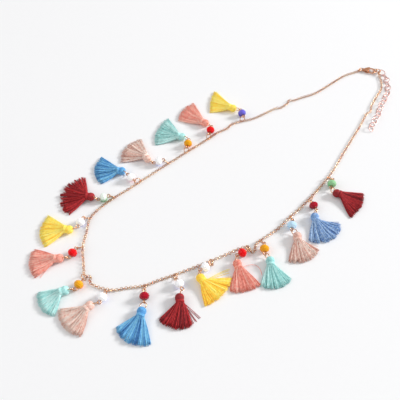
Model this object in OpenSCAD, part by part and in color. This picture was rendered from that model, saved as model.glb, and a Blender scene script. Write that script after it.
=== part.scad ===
// Tassel necklace, laid out on a flat surface
// A fine chain lies in a long open loop. Along it hang eighteen drops, each one a jump ring,
// an eye pin with a faceted glass bead, a larger ring and a cotton tassel with its fringe
// fanned out. A trigger clasp closes the loop, and an extender of oval links lies beside it.
// Millimetres. Z is up and the surface is at z = 0. X runs along the loop, towards the clasp.

/* [Chain] */
// Length of the loop as it lies, from its far bend to the rings at the clasp
loop_len = 294.5; // [294:0.5:320]
// Width of the chain
chain_w = 1.7; // [1.5:0.1:2.2]
// How far a jump ring lifts the chain off the surface
chain_lift = 0.4; // [0:0.1:1.2]
// Outer diameter of the loop at each end of the chain
end_loop_d = 2.6; // [2.4:0.1:3.2]
// Wire of those end loops
end_loop_wire = 0.6; // [0.5:0.05:0.7]

/* [Jump rings] */
// Outer diameter of the jump ring that a drop hangs on
jump_ring_d = 5; // [4.6:0.1:5.6]
// Its wire
jump_ring_wire = 0.6; // [0.5:0.05:0.7]

/* [Eye pins and beads] */
// Wire of an eye pin
pin_wire = 0.6; // [0.5:0.05:0.65]
// Outer diameter of the eye at each end of a pin
eye_d = 2.7; // [2.6:0.1:3]
// Diameter of a bead across its widest facets
bead_d = 6.4; // [5:0.1:7]
// Length of a bead along its hole
bead_len = 4.6; // [3.5:0.1:5.2]
// Diameter of the flat table at each end of a bead
bead_table_d = 3.4; // [2.4:0.1:4.4]
// Hole through a bead
bead_hole_d = 1; // [0.8:0.05:1.3]
// Facets around a bead
bead_facets = 12; // [10:2:14]

/* [Tassel rings] */
// Outer diameter of the ring through a tassel's head
tassel_ring_d = 4.8; // [4.4:0.1:5.4]
// Its wire
tassel_ring_wire = 0.6; // [0.5:0.05:0.7]

/* [Tassels] */
// Diameter of a tassel's head
head_d = 5.8; // [5:0.1:6.4]
// Length of the head, from its top to the thread band
head_len = 4.6; // [3.8:0.1:5.4]
// Length of the band wound round the neck
band_len = 1.5; // [1:0.1:2.2]
// Diameter of the band
band_d = 5.4; // [4.4:0.1:5.8]
// Diameter of the neck on both sides of the band
neck_d = 4.8; // [3.8:0.1:5]
// Yarn between the ring's wire and the top of the head
head_cover = 0.8; // [0.6:0.05:1.1]
// Thickness of the fringe at its cut ends
fringe_t = 2.6; // [1.8:0.1:3.4]
// Height of the ridges between the fringe's locks
lock_h = 0.5; // [0.2:0.05:0.7]
// How far the ends of neighbouring locks differ in length
lock_step = 0.8; // [0:0.1:2]

/* [Extender] */
// Number of oval links
link_count = 16; // [8:1:16]
// Length of a link
link_len = 6.2; // [5.8:0.1:6.6]
// Width of a link
link_w = 4.7; // [4.4:0.1:4.8]
// Wire of a link
link_wire = 0.6; // [0.5:0.05:0.7]
// Roll of the lying links, one to the left and the next to the right
link_roll = 30; // [28:1:40]

/* [Clasp] */
// Distance from the clasp's eye to the middle of its hook
hook_reach = 7; // [6.8:0.1:7.6]
// Diameter of the hook along the middle of its bar
hook_d = 5.5; // [5.4:0.1:5.8]
// Diameter of the hook's bar
hook_bar_d = 1.15; // [1:0.05:1.2]
// Thickness of the body round the lever's pivot
body_t = 2.8; // [2.6:0.1:3.2]
// Diameter of the lever's arm
lever_d = 1; // [0.8:0.05:1.1]
// Diameter of the pivot pin
pivot_d = 0.8; // [0.6:0.05:0.9]
// Outer diameter of the rings that join the clasp to the chain
clasp_ring_d = 4; // [4:0.1:4.2]
// Outer diameter of the ring that joins the chain and the extender
junction_ring_d = 4.6; // [4.6:0.1:5]
// Wire of these rings
clasp_ring_wire = 0.7; // [0.6:0.05:0.7]

/* [Hidden] */
// Clearances between pieces that pass through each other
link_gap = 0.16;
rest_gap = 0.02;
pivot_gap = 0.05;
// The loop's length and the middle of the whole necklace, in the coordinates of the route below
route_len = 294.5;
middle = [39.34, -2.99];

// The chain's route over the surface, from the clasp's eye round to the extender
ROUTE = [
    [189.4, 22.6], [178, 25.6], [165, 25.8], [154, 25.6], [141, 26], [129, 29.2],
    [121.6, 31], [118.8, 33.4], [115, 31.4], [107, 31.2], [104, 33.2], [94, 34.2],
    [82, 35.8], [72, 39.5], [64, 41.6], [58.5, 40.4], [50, 41.6], [39.5, 40.8],
    [29, 40.7], [17.5, 40.4], [9, 40.1], [1.5, 39.9], [-11, 39.6], [-24.5, 38.8],
    [-35, 38.5], [-46.5, 38.2], [-58, 37.4], [-69.5, 33.7], [-77.5, 25.4], [-85, 17.2],
    [-90.5, 7], [-94.5, -1.5], [-92, -4.6], [-94.2, -7.6], [-92.5, -13], [-86.2, -21],
    [-78, -25.4], [-68.3, -31], [-59, -33.4], [-49, -36.6], [-36, -40], [-24, -43.2],
    [-13, -45.6], [-5.5, -47], [1.2, -49.8], [0.4, -53.4], [2.4, -55], [4.4, -53.4],
    [6.6, -51.8], [11, -51.4], [25, -51.8], [40, -50.2], [51, -48.9], [62, -47.3],
    [73, -45.1], [85.3, -42.4], [95, -39.4], [115, -32], [128, -27.4], [141, -22.8],
    [151, -18.8], [157.5, -16.2], [162, -16.4], [167, -12.9], [179, -8.2], [189.5, -4.2],
    [196.5, 1.8], [200, 6.6]
];

// Where the clasp's eye lies, and the clasp's direction
clasp_eye_at = [195.2, 20.6];
clasp_heading = -50;

// The drops, in order along the route.
// Headings are degrees anticlockwise from X. The fringe's edges are degrees from its head's
// heading, and its three lengths are shares of fringe_len.
// at: place in ROUTE   jump, pin, ring, head: headings   lean: roll of the tassel ring
// left, l_left, right, l_right, l_mid: the fringe's left edge, right edge and middle
fringe_len = 17;
AT = 0;
JUMP = 1;
PIN = 2;
RING = 3;
LEAN = 4;
HEAD = 5;
LEFT = 6;
L_LEFT = 7;
RIGHT = 8;
L_RIGHT = 9;
L_MID = 10;
YARN = 11;
GLASS = 12;
DROPS = [
//   at jump  pin  ring lean head left  l_left right l_right l_mid yarn, bead
    [13,  15,  70, 125,  20, 115,  40,  0.92,  -35,  1.35,  0.94, "gold", "slateblue"],
    [17,  30,  42,  98,  22, 110,  22,  1.08,  -42,  1.35,  1.18, "salmon", "red"],
    [19,  30,  45, 105,  10, 125,  40,  1.06,  -50,  1.26,  1.03, "aquamarine", "orange"],
    [21, 115, 162, 108,  22,  90,  65,  1.03,  -25,  1.12,  1.06, "wheat", "white"],
    [23, 155,  95,  95,  20, 135,  50,  0.85,  -40,  1.12,  0.97, "steelblue", "white"],
    [25, 142, 165, 112,  22, 135,  60,  1.00,  -70,  1.04,  1.07, "darkred", "seagreen"],
    [27, 152, 207, 175,  32, 135,  55,  0.95,  -35,  1.04,  0.95, "gold", "white"],
    [29, 170, 203, 147,  22, 145,  45,  0.95,  -30,  1.01,  0.94, "salmon", "red"],
    [31, 230, 200, 143,  22, 160,  65,  0.85,  -20,  0.81,  0.83, "aquamarine", "orange"],
    [35, 170, 208, 153,  22, 185,  45,  0.92,  -45,  0.95,  0.91, "wheat", "white"],
    [37, 235, 235, 220,  75, 220,  35,  1.03,  -55,  0.89,  0.95, "steelblue", "firebrick"],
    [39, 250, 260, 210,  10, 240,  20,  0.90,  -60,  0.92,  0.91, "darkred", "white"],
    [41, 223, 170, 222,  22, 270,  64,  1.04,  -35,  0.87,  0.82, "gold", "white"],
    [44, 226, 169, 224,  22, 248,  35,  0.97,  -37,  0.95,  0.90, "salmon", "red"],
    [49, 265, 230, 275,  10, 235,  50,  0.88,  -30,  0.88,  0.88, "aquamarine", "orange"],
    [51, 240, 222, 278,  22, 235,  60,  0.82,  -30,  0.94,  0.86, "wheat", "lightblue"],
    [53, 225, 253, 206,  22, 240,  76,  0.95,  -30,  0.89,  0.94, "steelblue", "firebrick"],
    [55, 270, 215, 255,  15, 305,  25,  0.96,  -60,  1.07,  0.90, "darkred", "seagreen"]
];

// Heading of each extender link, from the ring at the clasp outwards
LINKS = [-86, -112, -136, -134, -134, -146, -160, -156, -158, -160, -148, -152, -162, -160, -154, -152];

// Sizes and heights that follow from the values above
drops = len(DROPS);
chain_r = chain_w / 2;
stem_d = 0.9 * pin_wire;
pin_z = bead_d / 2 + rest_gap;
station_z = chain_r + chain_lift;
jump_span = jump_ring_d - jump_ring_wire;
jump_rise = asin((pin_z - station_z) / jump_span);
jump_mid_z = (pin_z + station_z) / 2;
jump_drop = (jump_mid_z - jump_ring_wire / 2 - rest_gap) / (jump_span / 2);
jump_lean = acos(min(1, sqrt(max(0, pow(jump_drop, 2) - pow(sin(jump_rise), 2))) / cos(jump_rise)));
eye_in_r = eye_d / 2 - pin_wire;
eye_mid_r = (eye_d - pin_wire) / 2;
jump_seat = eye_in_r - jump_ring_wire / 2 - link_gap;
ring_seat = eye_in_r - tassel_ring_wire / 2 - link_gap;
eye_to_bead = eye_d / 2 + link_gap + bead_len / 2;
ring_mid_r = (tassel_ring_d - tassel_ring_wire) / 2;
neck_end = head_len + band_len;
body_z = body_t / 2 + rest_gap;
eye_lug_d = 2.4;
eye_lug_w = 1.1;
eye_hole_d = clasp_ring_wire + 4 * link_gap;
end_in_r = end_loop_d / 2 - end_loop_wire;
end_mid_r = (end_loop_d - end_loop_wire) / 2;
end_seat = end_in_r - clasp_ring_wire / 2 - link_gap;
junction_mid_r = (junction_ring_d - clasp_ring_wire) / 2;
clasp_ring_mid_r = (clasp_ring_d - clasp_ring_wire) / 2;

function unit(a) = [cos(a), sin(a), 0];
function left_of(a) = [-sin(a), cos(a), 0];
function flat(p) = loop_len / route_len * [p[0] - middle[0], p[1] - middle[1], 0];
function heading_of(v) = atan2(v[1], v[0]);
function two(n) = n < 10 ? str("0", n) : str(n);
function bead_name(d) = str("bead_", two(d + 1));
function tassel_name(d) = str("tassel_", two(d + 1));

// The clasp's own directions and the rings at it
hook_side = 5;
eye_at = flat(clasp_eye_at) + [0, 0, body_z];
hook_at = eye_at + hook_reach * unit(clasp_heading);
bar_heading = clasp_heading + hook_side;
bar_at = hook_at + hook_d / 2 * unit(bar_heading);
hook_ring_at = [bar_at[0], bar_at[1], clasp_ring_d / 2 + rest_gap];
junction_from_bar = clasp_ring_d / 2 - clasp_ring_wire * 1.5 - 0.8 * link_gap;
junction_at = hook_ring_at + (junction_from_bar + junction_mid_r) * unit(bar_heading);
chain_end_heading = 226;

// The loop at each end of the chain, where it encloses its ring
start_ring_at = eye_at - clasp_ring_mid_r * unit(clasp_heading);
start_heading = heading_of(flat(ROUTE[0]) - start_ring_at);
start_loop_at = start_ring_at + (clasp_ring_mid_r + end_seat) * unit(start_heading);
end_loop_at = junction_at + (junction_mid_r + end_seat) * unit(chain_end_heading);

// The route in the part's own frame, with each station lifted by its jump ring
stations = [for (d = DROPS) d[AT]];
function is_station(i) = len(search(i, stations)) > 0;
function route_point(i) = flat(ROUTE[i]) + [0, 0, is_station(i) ? station_z : chain_r + rest_gap];
start_point = start_loop_at + end_mid_r * unit(start_heading);
end_point = end_loop_at + end_mid_r * unit(chain_end_heading);
path = concat([start_point], [for (i = [0 : len(ROUTE) - 1]) route_point(i)], [end_point]);

// A smooth curve through the path: a quarter of the spread of its neighbours bends each span
function path_at(i) = path[max(0, min(len(path) - 1, i))];
function bend_at(i) = (path_at(i + 1) - path_at(i - 1)) / 2;
function between(i, t) =
    (2 * pow(t, 3) - 3 * pow(t, 2) + 1) * path_at(i)
    + (pow(t, 3) - 2 * pow(t, 2) + t) * bend_at(i)
    + (3 * pow(t, 2) - 2 * pow(t, 3)) * path_at(i + 1)
    + (pow(t, 3) - pow(t, 2)) * bend_at(i + 1);
ring_spacing = 13;
function steps(i) = norm(path_at(i + 1) - path_at(i)) > ring_spacing ? 2 : 1;
curve = concat(
    [for (i = [0 : len(path) - 2]) for (k = [0 : steps(i) - 1]) between(i, k / steps(i))],
    [path[len(path) - 1]]
);
function curve_at(i) = curve[max(0, min(len(curve) - 1, i))];
tube_sides = 8;

// One ring of points across the chain at point i of its curve
function tube_ring(i) =
    let (
        along = curve_at(i + 1) - curve_at(i - 1),
        tangent = along / norm(along),
        side = cross([0, 0, 1], tangent) / norm(cross([0, 0, 1], tangent)),
        up = cross(tangent, side)
    )
    [for (k = [0 : tube_sides - 1])
        curve_at(i) + chain_r * (cos((k + 0.5) * 360 / tube_sides) * side
            + sin((k + 0.5) * 360 / tube_sides) * up)];

// Faces of a closed skin over rings of points, each ring with n points
function skin_faces(rings, n) = concat(
    [for (i = [0 : rings - 2]) for (k = [0 : n - 1])
        [i * n + k, (i + 1) * n + k, (i + 1) * n + (k + 1) % n]],
    [for (i = [0 : rings - 2]) for (k = [0 : n - 1])
        [i * n + k, (i + 1) * n + (k + 1) % n, i * n + (k + 1) % n]],
    [[for (k = [0 : n - 1]) k]],
    [[for (k = [0 : n - 1]) rings * n - 1 - k]]
);

// Where each piece of drop d lies, from the chain outwards
function station(d) = route_point(DROPS[d][AT]);
function jump_far(d) = station(d)
    + jump_span * (cos(jump_rise) * unit(DROPS[d][JUMP]) + [0, 0, sin(jump_rise)]);
function upper_eye(d) = jump_far(d) + jump_seat * unit(DROPS[d][PIN]);
function bead_at(d) = upper_eye(d) + eye_to_bead * unit(DROPS[d][PIN]);
function lower_eye(d) = bead_at(d) + eye_to_bead * unit(DROPS[d][PIN]);
function ring_at(d) = lower_eye(d) + (ring_seat + ring_mid_r) * unit(DROPS[d][RING]);
function ring_far(d) = ring_at(d) + ring_mid_r * unit(DROPS[d][RING]);
function head_top(d) = ring_far(d) - (tassel_ring_wire / 2 + head_cover) * unit(DROPS[d][HEAD]);

// A jump ring leans to the side that its pin swings to
function swing(d) = DROPS[d][PIN] >= DROPS[d][JUMP] ? 1 : -1;

// Direction of the wire inside the upper and the lower eye
function jump_wire_along(d) =
    let (a = DROPS[d][JUMP])
    cos(jump_lean) * (-sin(jump_rise) * unit(a) + [0, 0, cos(jump_rise)])
    + swing(d) * sin(jump_lean) * left_of(a);
function ring_wire_along(d) =
    [0, 0, cos(DROPS[d][LEAN])] + sin(DROPS[d][LEAN]) * left_of(DROPS[d][RING]);
// Roll of an eye about its pin that sets it square to that wire
function eye_roll(d, wire) = atan2(-wire * left_of(DROPS[d][PIN]), wire[2]);

module torus(mid_r, wire) {
    rotate_extrude($fn = 48)
        translate([mid_r, 0])
            circle(d = wire, $fn = 24);
}

module standing_ring(at, heading, rise, lean, mid_r, wire) {
    translate(at)
        rotate([0, 0, heading])
            rotate([0, -rise, 0])
                rotate([90 - lean, 0, 0])
                    torus(mid_r, wire);
}

module jump_ring(d, wire) {
    middle_at = (station(d) + jump_far(d)) / 2;
    standing_ring(middle_at, DROPS[d][JUMP], jump_rise, swing(d) * jump_lean, jump_span / 2, wire);
}

module tassel_ring(d, wire) {
    standing_ring(ring_at(d), DROPS[d][RING], 0, DROPS[d][LEAN], ring_mid_r, wire);
}

module end_loop(at, heading) {
    standing_ring(at, heading, 0, 0, end_mid_r, end_loop_wire);
}

module chain() {
    color("rosybrown") {
        difference() {
            polyhedron(
                points = [for (i = [0 : len(curve) - 1]) each tube_ring(i)],
                faces = skin_faces(len(curve), tube_sides)
            );
            for (d = [0 : drops - 1]) {
                jump_ring(d, jump_ring_wire + 2 * link_gap);
            }
        }
        end_loop(start_loop_at, start_heading);
        end_loop(end_loop_at, chain_end_heading);
    }
}

module jump_rings() {
    color("peru") {
        for (d = [0 : drops - 1]) {
            jump_ring(d, jump_ring_wire);
        }
    }
}

module eye(at, heading, roll) {
    translate(at)
        rotate([0, 0, heading])
            rotate([roll, 0, 0])
                torus(eye_mid_r, pin_wire);
}

module eye_pins() {
    stem = 2 * (eye_to_bead - eye_mid_r);
    color("peru") {
        for (d = [0 : drops - 1]) {
            eye(upper_eye(d), DROPS[d][PIN], eye_roll(d, jump_wire_along(d)));
            eye(lower_eye(d), DROPS[d][PIN], eye_roll(d, ring_wire_along(d)));
            translate(bead_at(d))
                rotate([0, 90, DROPS[d][PIN]])
                    cylinder(h = stem, d = stem_d, center = true, $fn = 24);
        }
    }
}

module tassel_rings() {
    color("peru") {
        for (d = [0 : drops - 1]) {
            tassel_ring(d, tassel_ring_wire);
        }
    }
}

// Faces of a bead: each section has its half length's share and its diameter's share,
// and every second section is turned by half a facet
BEAD_SECTIONS = [[-1, 0], [-0.5, 0.8], [0, 1], [0.5, 0.8], [1, 0]];
function bead_radius(share) = (bead_table_d + share * (bead_d - bead_table_d)) / 2;
bead_points = [
    for (i = [0 : len(BEAD_SECTIONS) - 1])
        for (k = [0 : bead_facets - 1])
            let (
                a = (k + (i % 2) / 2) * 360 / bead_facets,
                r = bead_radius(BEAD_SECTIONS[i][1])
            )
            [BEAD_SECTIONS[i][0] * bead_len / 2, r * cos(a), r * sin(a)]
];
function bead_faces(n) = concat(
    [for (i = [0 : len(BEAD_SECTIONS) - 2]) for (k = [0 : n - 1])
        let (turn = i % 2)
        [i * n + k, (i + 1) * n + (k + turn) % n, i * n + (k + 1) % n]],
    [for (i = [0 : len(BEAD_SECTIONS) - 2]) for (k = [0 : n - 1])
        let (turn = i % 2)
        [(i + 1) * n + (k + turn) % n, (i + 1) * n + (k + 1 + turn) % n, i * n + (k + 1) % n]],
    [[for (k = [0 : n - 1]) k]],
    [[for (k = [0 : n - 1]) len(BEAD_SECTIONS) * n - 1 - k]]
);

module bead(d) {
    color(DROPS[d][GLASS])
        translate(bead_at(d))
            rotate([0, 0, DROPS[d][PIN]])
                difference() {
                    polyhedron(points = bead_points, faces = bead_faces(bead_facets));
                    rotate([0, 90, 0])
                        cylinder(h = 2 * bead_len, d = bead_hole_d, center = true, $fn = 24);
                }
}

// A tassel, in its own frame: X runs from the top of its head towards the fringe.
// Its head is a row of round sections, each with its place and its diameter.
HEAD_SECTIONS = [
    [0, 0.42 * head_d],
    [0.16 * head_len, 0.78 * head_d],
    [0.5 * head_len, head_d],
    [0.96 * head_len, neck_d],
    [head_len + 0.15 * band_len, band_d],
    [neck_end - 0.15 * band_len, band_d],
    [neck_end, neck_d]
];
// The fringe's sections, as shares of the way to its cut ends
FRINGE_SHARES = [0.18, 0.42, 0.7, 1];
locks = 6;
lock_points = 2 * locks;
// A lock leaves the neck at this share of its own angle, and bends within this share of its length
fan_turn = 0.95;
fan_reach = 0.4;

// Points go round a section with the first half on top, from the left edge to the right
function head_section(x, size) = [
    for (k = [0 : 2 * lock_points - 1])
        let (a = (k + 0.5) * 180 / lock_points)
        [x, size / 2 * cos(a), head_d / 2 + size / 2 * sin(a)]
];
// Place of lock point k across the fringe: 1 at its left edge, -1 at its right edge
function across(k) = 1 - 2 * (k < lock_points ? k : 2 * lock_points - 1 - k) / (lock_points - 1);
function edge_blend(u, left, mid, right) = mid + u * (left - right) / 2
    + u * u * ((left + right) / 2 - mid);
function lock_length(d, u, k) =
    fringe_len * edge_blend(u, DROPS[d][L_LEFT], DROPS[d][L_MID], DROPS[d][L_RIGHT])
    + lock_step / 2 * (k % 2 == 0 ? -1 : 1) * (1 + 0.6 * sin(137 * k + 71 * d));
function lock_angle(d, u) =
    edge_blend(u, DROPS[d][LEFT], (DROPS[d][LEFT] + DROPS[d][RIGHT]) / 2, DROPS[d][RIGHT]);
// A lock leaves the neck, bends a little to its own angle and comes down to the surface
function fringe_point(d, k, share) =
    let (
        top = k < lock_points,
        row = top ? k : 2 * lock_points - 1 - k,
        u = across(k),
        a = (k + 0.5) * 180 / lock_points,
        reach = lock_length(d, u, row),
        angle = lock_angle(d, u),
        from = [neck_end, neck_d / 2 * cos(a)],
        via = from + fan_reach * reach * [cos(fan_turn * angle), sin(fan_turn * angle)],
        to = [neck_end, 0] + reach * [cos(angle), sin(angle)],
        plan = pow(1 - share, 2) * from + 2 * share * (1 - share) * via + share * share * to,
        end_z = top ? fringe_t * (0.5 + 0.3 * sin(a)) + (row % 2 == 0 ? -lock_h / 2 : lock_h / 2) : rest_gap,
        neck_z = head_d / 2 + neck_d / 2 * sin(a),
        fall = top ? pow(1 - share, 1.6) : pow(1 - share, 3)
    )
    [plan[0], plan[1], end_z + (neck_z - end_z) * fall];
function tassel_points(d) = concat(
    [for (s = HEAD_SECTIONS) each head_section(s[0], s[1])],
    [for (share = FRINGE_SHARES) for (k = [0 : 2 * lock_points - 1]) fringe_point(d, k, share)]
);
// Both end faces are strips across the section, so that jagged ends close well
function strip(first, n, flip) = [
    for (k = [0 : n / 2 - 2]) each [
        flip ? [first + k, first + n - 2 - k, first + n - 1 - k]
             : [first + k, first + n - 1 - k, first + n - 2 - k],
        flip ? [first + k, first + k + 1, first + n - 2 - k]
             : [first + k, first + n - 2 - k, first + k + 1]
    ]
];
tassel_rings_n = len(HEAD_SECTIONS) + len(FRINGE_SHARES);
function side_faces(rings, n) = [
    for (i = [0 : rings - 2]) for (k = [0 : n - 1]) each [
        [i * n + k, (i + 1) * n + k, (i + 1) * n + (k + 1) % n],
        [i * n + k, (i + 1) * n + (k + 1) % n, i * n + (k + 1) % n]
    ]
];
tassel_faces = concat(
    side_faces(tassel_rings_n, 2 * lock_points),
    strip(0, 2 * lock_points, true),
    strip((tassel_rings_n - 1) * 2 * lock_points, 2 * lock_points, false)
);

module tassel(d) {
    color(DROPS[d][YARN])
        difference() {
            translate([head_top(d)[0], head_top(d)[1], 0])
                rotate([0, 0, DROPS[d][HEAD]])
                    polyhedron(points = tassel_points(d), faces = tassel_faces);
            tassel_ring(d, tassel_ring_wire + 2 * link_gap);
        }
}

// The extender: each link spans from the pivot inside the one before to its own far pivot
link_slack = 0.3;
first_slack = 0.3;
link_pitch = link_len - 2 * link_wire - link_slack;
link_mid_r = (link_w - link_wire) / 2;
link_half = (link_len - link_wire) / 2;
first_roll = 78;
function link_roll_at(k) = k == 0 ? first_roll : (k % 2 == 1 ? -link_roll : link_roll);
function pivot(k) = k == 0
    ? junction_at + (junction_mid_r - clasp_ring_wire / 2 - link_gap) * unit(LINKS[0])
    : pivot(k - 1) + (link_pitch - (k == 1 ? first_slack : 0)) * unit(LINKS[k - 1]);
function link_centre(k) =
    let (p = pivot(k) + link_pitch / 2 * unit(LINKS[k]))
    [p[0], p[1], link_mid_r * sin(abs(link_roll_at(k))) + link_wire / 2 + rest_gap];

module half_link() {
    translate([link_half - link_mid_r, 0, 0])
        rotate([0, 0, -90])
            rotate_extrude(angle = 180, $fn = 48)
                translate([link_mid_r, 0])
                    circle(d = link_wire, $fn = 24);
    translate([0, link_mid_r, 0])
        rotate([0, 90, 0])
            cylinder(h = link_half - link_mid_r, d = link_wire, $fn = 24);
    translate([0, -link_mid_r, 0])
        rotate([0, 90, 0])
            cylinder(h = link_half - link_mid_r, d = link_wire, $fn = 24);
}

module extender() {
    color("rosybrown") {
        for (k = [0 : link_count - 1]) {
            translate(link_centre(k))
                rotate([0, 0, LINKS[k]])
                    rotate([link_roll_at(k), 0, 0])
                        union() {
                            half_link();
                            rotate([0, 0, 180])
                                half_link();
                        }
        }
    }
}

// The clasp, in its own frame: origin at its eye, X towards the tip of its hook
pivot_at = [3.6, -0.9, 0];
lever_reach = 3.9;
lever_gap = 0.15;
slot_h = lever_d + 2 * lever_gap;
boss_t = 0.9 * lever_d;
nub_t = 0.7 * lever_d;
nub_at = -130;
nub_w = 1;
nub_len = 1.3;
boss_r = 1.05;
hook_from = -95;
hook_to = 150;
arm_from = -160;
arm_to = -94;
// The tail block's outline, its rounded edge, the lever's slot and the bay inside the hook
TAIL = [
    [0.8, -0.8], [2.7, -2.1], [4, -2.1], [4.7, -1.3],
    [5, 0.6], [5.5, 2.4], [4.6, 2.9], [3, 2.2], [0.8, 0.8]
];
tail_edge = 0.1;
slot_from = 1.6;
slot_top = 0.4;
bay_at = hook_reach - 1.1;
bay_r = 1.35;

module in_clasp() {
    translate(eye_at)
        rotate([0, 0, clasp_heading])
            children();
}

module arc_bar(from, to, mid_r, bar_d) {
    rotate([0, 0, from])
        rotate_extrude(angle = to - from, $fn = 64)
            translate([mid_r, 0])
                circle(d = bar_d, $fn = 32);
}

module clasp_body() {
    color("peru")
        in_clasp() {
            difference() {
                translate([hook_reach, 0, 0])
                    arc_bar(hook_from, hook_to, hook_d / 2, hook_bar_d);
                translate(pivot_at + [0, -hook_reach, 0])
                    intersection() {
                        translate([0, hook_reach, 0])
                            cylinder(h = body_t, r = lever_reach + lever_gap, center = true, $fn = 64);
                        translate([0, 0, -body_t])
                            cube([hook_reach, hook_reach - 0.2, 2 * body_t]);
                    }
            }
            difference() {
                translate([0, 0, -body_t / 2 + tail_edge])
                    linear_extrude(body_t - 2 * tail_edge)
                        polygon(TAIL);
                translate([slot_from, slot_top - hook_reach, -slot_h / 2])
                    cube([hook_reach, hook_reach, slot_h]);
                translate([bay_at, 0, 0])
                    cylinder(h = 2 * body_t, r = bay_r, center = true, $fn = 48);
            }
            translate(pivot_at)
                cylinder(h = body_t, d = pivot_d, center = true, $fn = 32);
            rotate([90, 0, 0])
                difference() {
                    cylinder(h = eye_lug_w, d = eye_lug_d, center = true, $fn = 48);
                    cylinder(h = 2 * eye_lug_w, d = eye_hole_d, center = true, $fn = 32);
                }
        }
}

module clasp_lever() {
    color("burlywood")
        in_clasp()
            difference() {
                union() {
                    translate([hook_reach, 0, 0])
                        arc_bar(arm_from, arm_to, hook_d / 2, lever_d);
                    translate(pivot_at)
                        cylinder(h = boss_t, r = boss_r, center = true, $fn = 48);
                    translate([hook_reach, 0, 0])
                        rotate([0, 0, nub_at])
                            translate([hook_d / 2, -nub_w / 2, -nub_t / 2])
                                cube([nub_len, nub_w, nub_t]);
                }
                translate(pivot_at)
                    cylinder(h = 2 * body_t, d = pivot_d + 2 * pivot_gap, center = true, $fn = 32);
            }
}

module clasp_ring() {
    color("peru")
        translate(start_ring_at)
            torus(clasp_ring_mid_r, clasp_ring_wire);
}

module hook_ring() {
    color("peru")
        standing_ring(hook_ring_at, bar_heading, 0, 0, clasp_ring_mid_r, clasp_ring_wire);
}

module junction_ring() {
    color("peru")
        translate(junction_at)
            torus(junction_mid_r, clasp_ring_wire);
}

chain();
jump_rings();
eye_pins();
tassel_rings();
extender();
clasp_body();
clasp_lever();
clasp_ring();
hook_ring();
junction_ring();
for (d = [0 : drops - 1]) {
    bead(d);
    tassel(d);
}
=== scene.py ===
"""Looks of a tassel necklace that lies in a long loop on a pale surface.

Lengths in the tables are millimetres, as a maker would note them, and MM turns them into metres.
X runs along the loop towards the clasp, Z is up, and the surface is at z = 0.
"""

import logging
import math
from dataclasses import dataclass, field
from enum import Enum
from typing import Any, Sequence

import bpy
import numpy as np
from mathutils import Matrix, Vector


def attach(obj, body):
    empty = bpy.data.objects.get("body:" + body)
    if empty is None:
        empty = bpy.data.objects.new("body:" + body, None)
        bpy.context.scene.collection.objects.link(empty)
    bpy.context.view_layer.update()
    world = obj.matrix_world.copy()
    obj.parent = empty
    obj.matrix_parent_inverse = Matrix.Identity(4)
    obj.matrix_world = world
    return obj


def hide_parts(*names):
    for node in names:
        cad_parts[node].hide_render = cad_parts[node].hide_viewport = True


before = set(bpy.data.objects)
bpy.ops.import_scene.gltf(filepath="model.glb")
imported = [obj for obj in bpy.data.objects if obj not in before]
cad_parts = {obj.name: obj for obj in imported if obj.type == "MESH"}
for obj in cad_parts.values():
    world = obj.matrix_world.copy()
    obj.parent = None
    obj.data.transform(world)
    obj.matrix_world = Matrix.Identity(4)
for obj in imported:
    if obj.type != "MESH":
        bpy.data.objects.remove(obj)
log = logging.getLogger("necklace")

MM = 0.001
NECKLACE = "necklace"
UP = np.array([0.0, 0.0, 1.0])
LEVEL = np.array([1.0, 1.0, 0.0])  # times a point, the point dropped to the surface

Screen = tuple[int, int, int]  # red, green and blue as seen, 0 to 255
Colour = tuple[float, float, float, float]  # the linear colour of a shader, with its alpha


class Yarn(Enum):
    """The record's slot of each colour of cotton."""

    YELLOW = "yarn_yellow"
    CORAL = "yarn_coral"
    MINT = "yarn_mint"
    BEIGE = "yarn_beige"
    BLUE = "yarn_blue"
    DARK_RED = "yarn_dark_red"


class Glass(Enum):
    """The record's slot of each colour of glass."""

    VIOLET = "glass_violet"
    RED = "glass_red"
    ORANGE = "glass_orange"
    WHITE = "glass_white"
    LIGHT_BLUE = "glass_light_blue"
    RUBY = "glass_ruby"
    GREEN = "glass_green"


class Plate(Enum):
    """The record's slot of each colour of plating that this script gives."""

    ROSE = "rose_gold"
    PALE = "rose_gold_pale"


def linear(seen: Screen) -> Colour:
    """Turns a colour seen on a screen into the linear colour that a shader takes.

    A dark channel is divided by 12.92. Any other is (channel + 0.055) / 1.055 to the power 2.4.

    Args:
        seen: Red, green and blue from 0 to 255.

    Returns:
        The linear colour with full alpha.
    """
    share = np.array(seen) / 255
    low, high = share / 12.92, ((share + 0.055) / 1.055) ** 2.4
    red, green, blue = np.where(share <= 0.04045, low, high)
    return float(red), float(green), float(blue), 1.0


# Directions and curves

def unit(heading: float) -> np.ndarray:
    """Returns the level direction at a heading in degrees, anticlockwise from X."""
    return np.array([math.cos(math.radians(heading)), math.sin(math.radians(heading)), 0.0])


def left_of(heading: float) -> np.ndarray:
    """Returns the level direction a quarter turn to the left of a heading."""
    return unit(heading + 90)


def normalised(vectors: np.ndarray) -> np.ndarray:
    """Returns vectors of length one along the same directions."""
    return vectors / np.linalg.norm(vectors, axis=-1, keepdims=True)


def axes(heading: float) -> np.ndarray:
    """Returns the ways ahead, left and up of a piece with a heading, as rows."""
    return np.array([unit(heading), left_of(heading), UP])


def circle(count: int) -> np.ndarray:
    """Returns evenly spaced angles once round a circle, in radians."""
    return np.linspace(0, 2 * np.pi, count, endpoint=False)


def turned(x: np.ndarray, r: np.ndarray, a: np.ndarray) -> np.ndarray:
    """Returns points [..., xyz] at x along the X axis, r off it and angle a round it."""
    return np.stack(np.broadcast_arrays(x, r * np.cos(a), r * np.sin(a)), -1)


def bent(s: np.ndarray, start: np.ndarray, via: np.ndarray, end: np.ndarray) -> np.ndarray:
    """Returns the curve (1 - s) squared * start + 2 s (1 - s) * via + s squared * end."""
    return (1 - s) ** 2 * start + 2 * s * (1 - s) * via + s**2 * end


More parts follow.
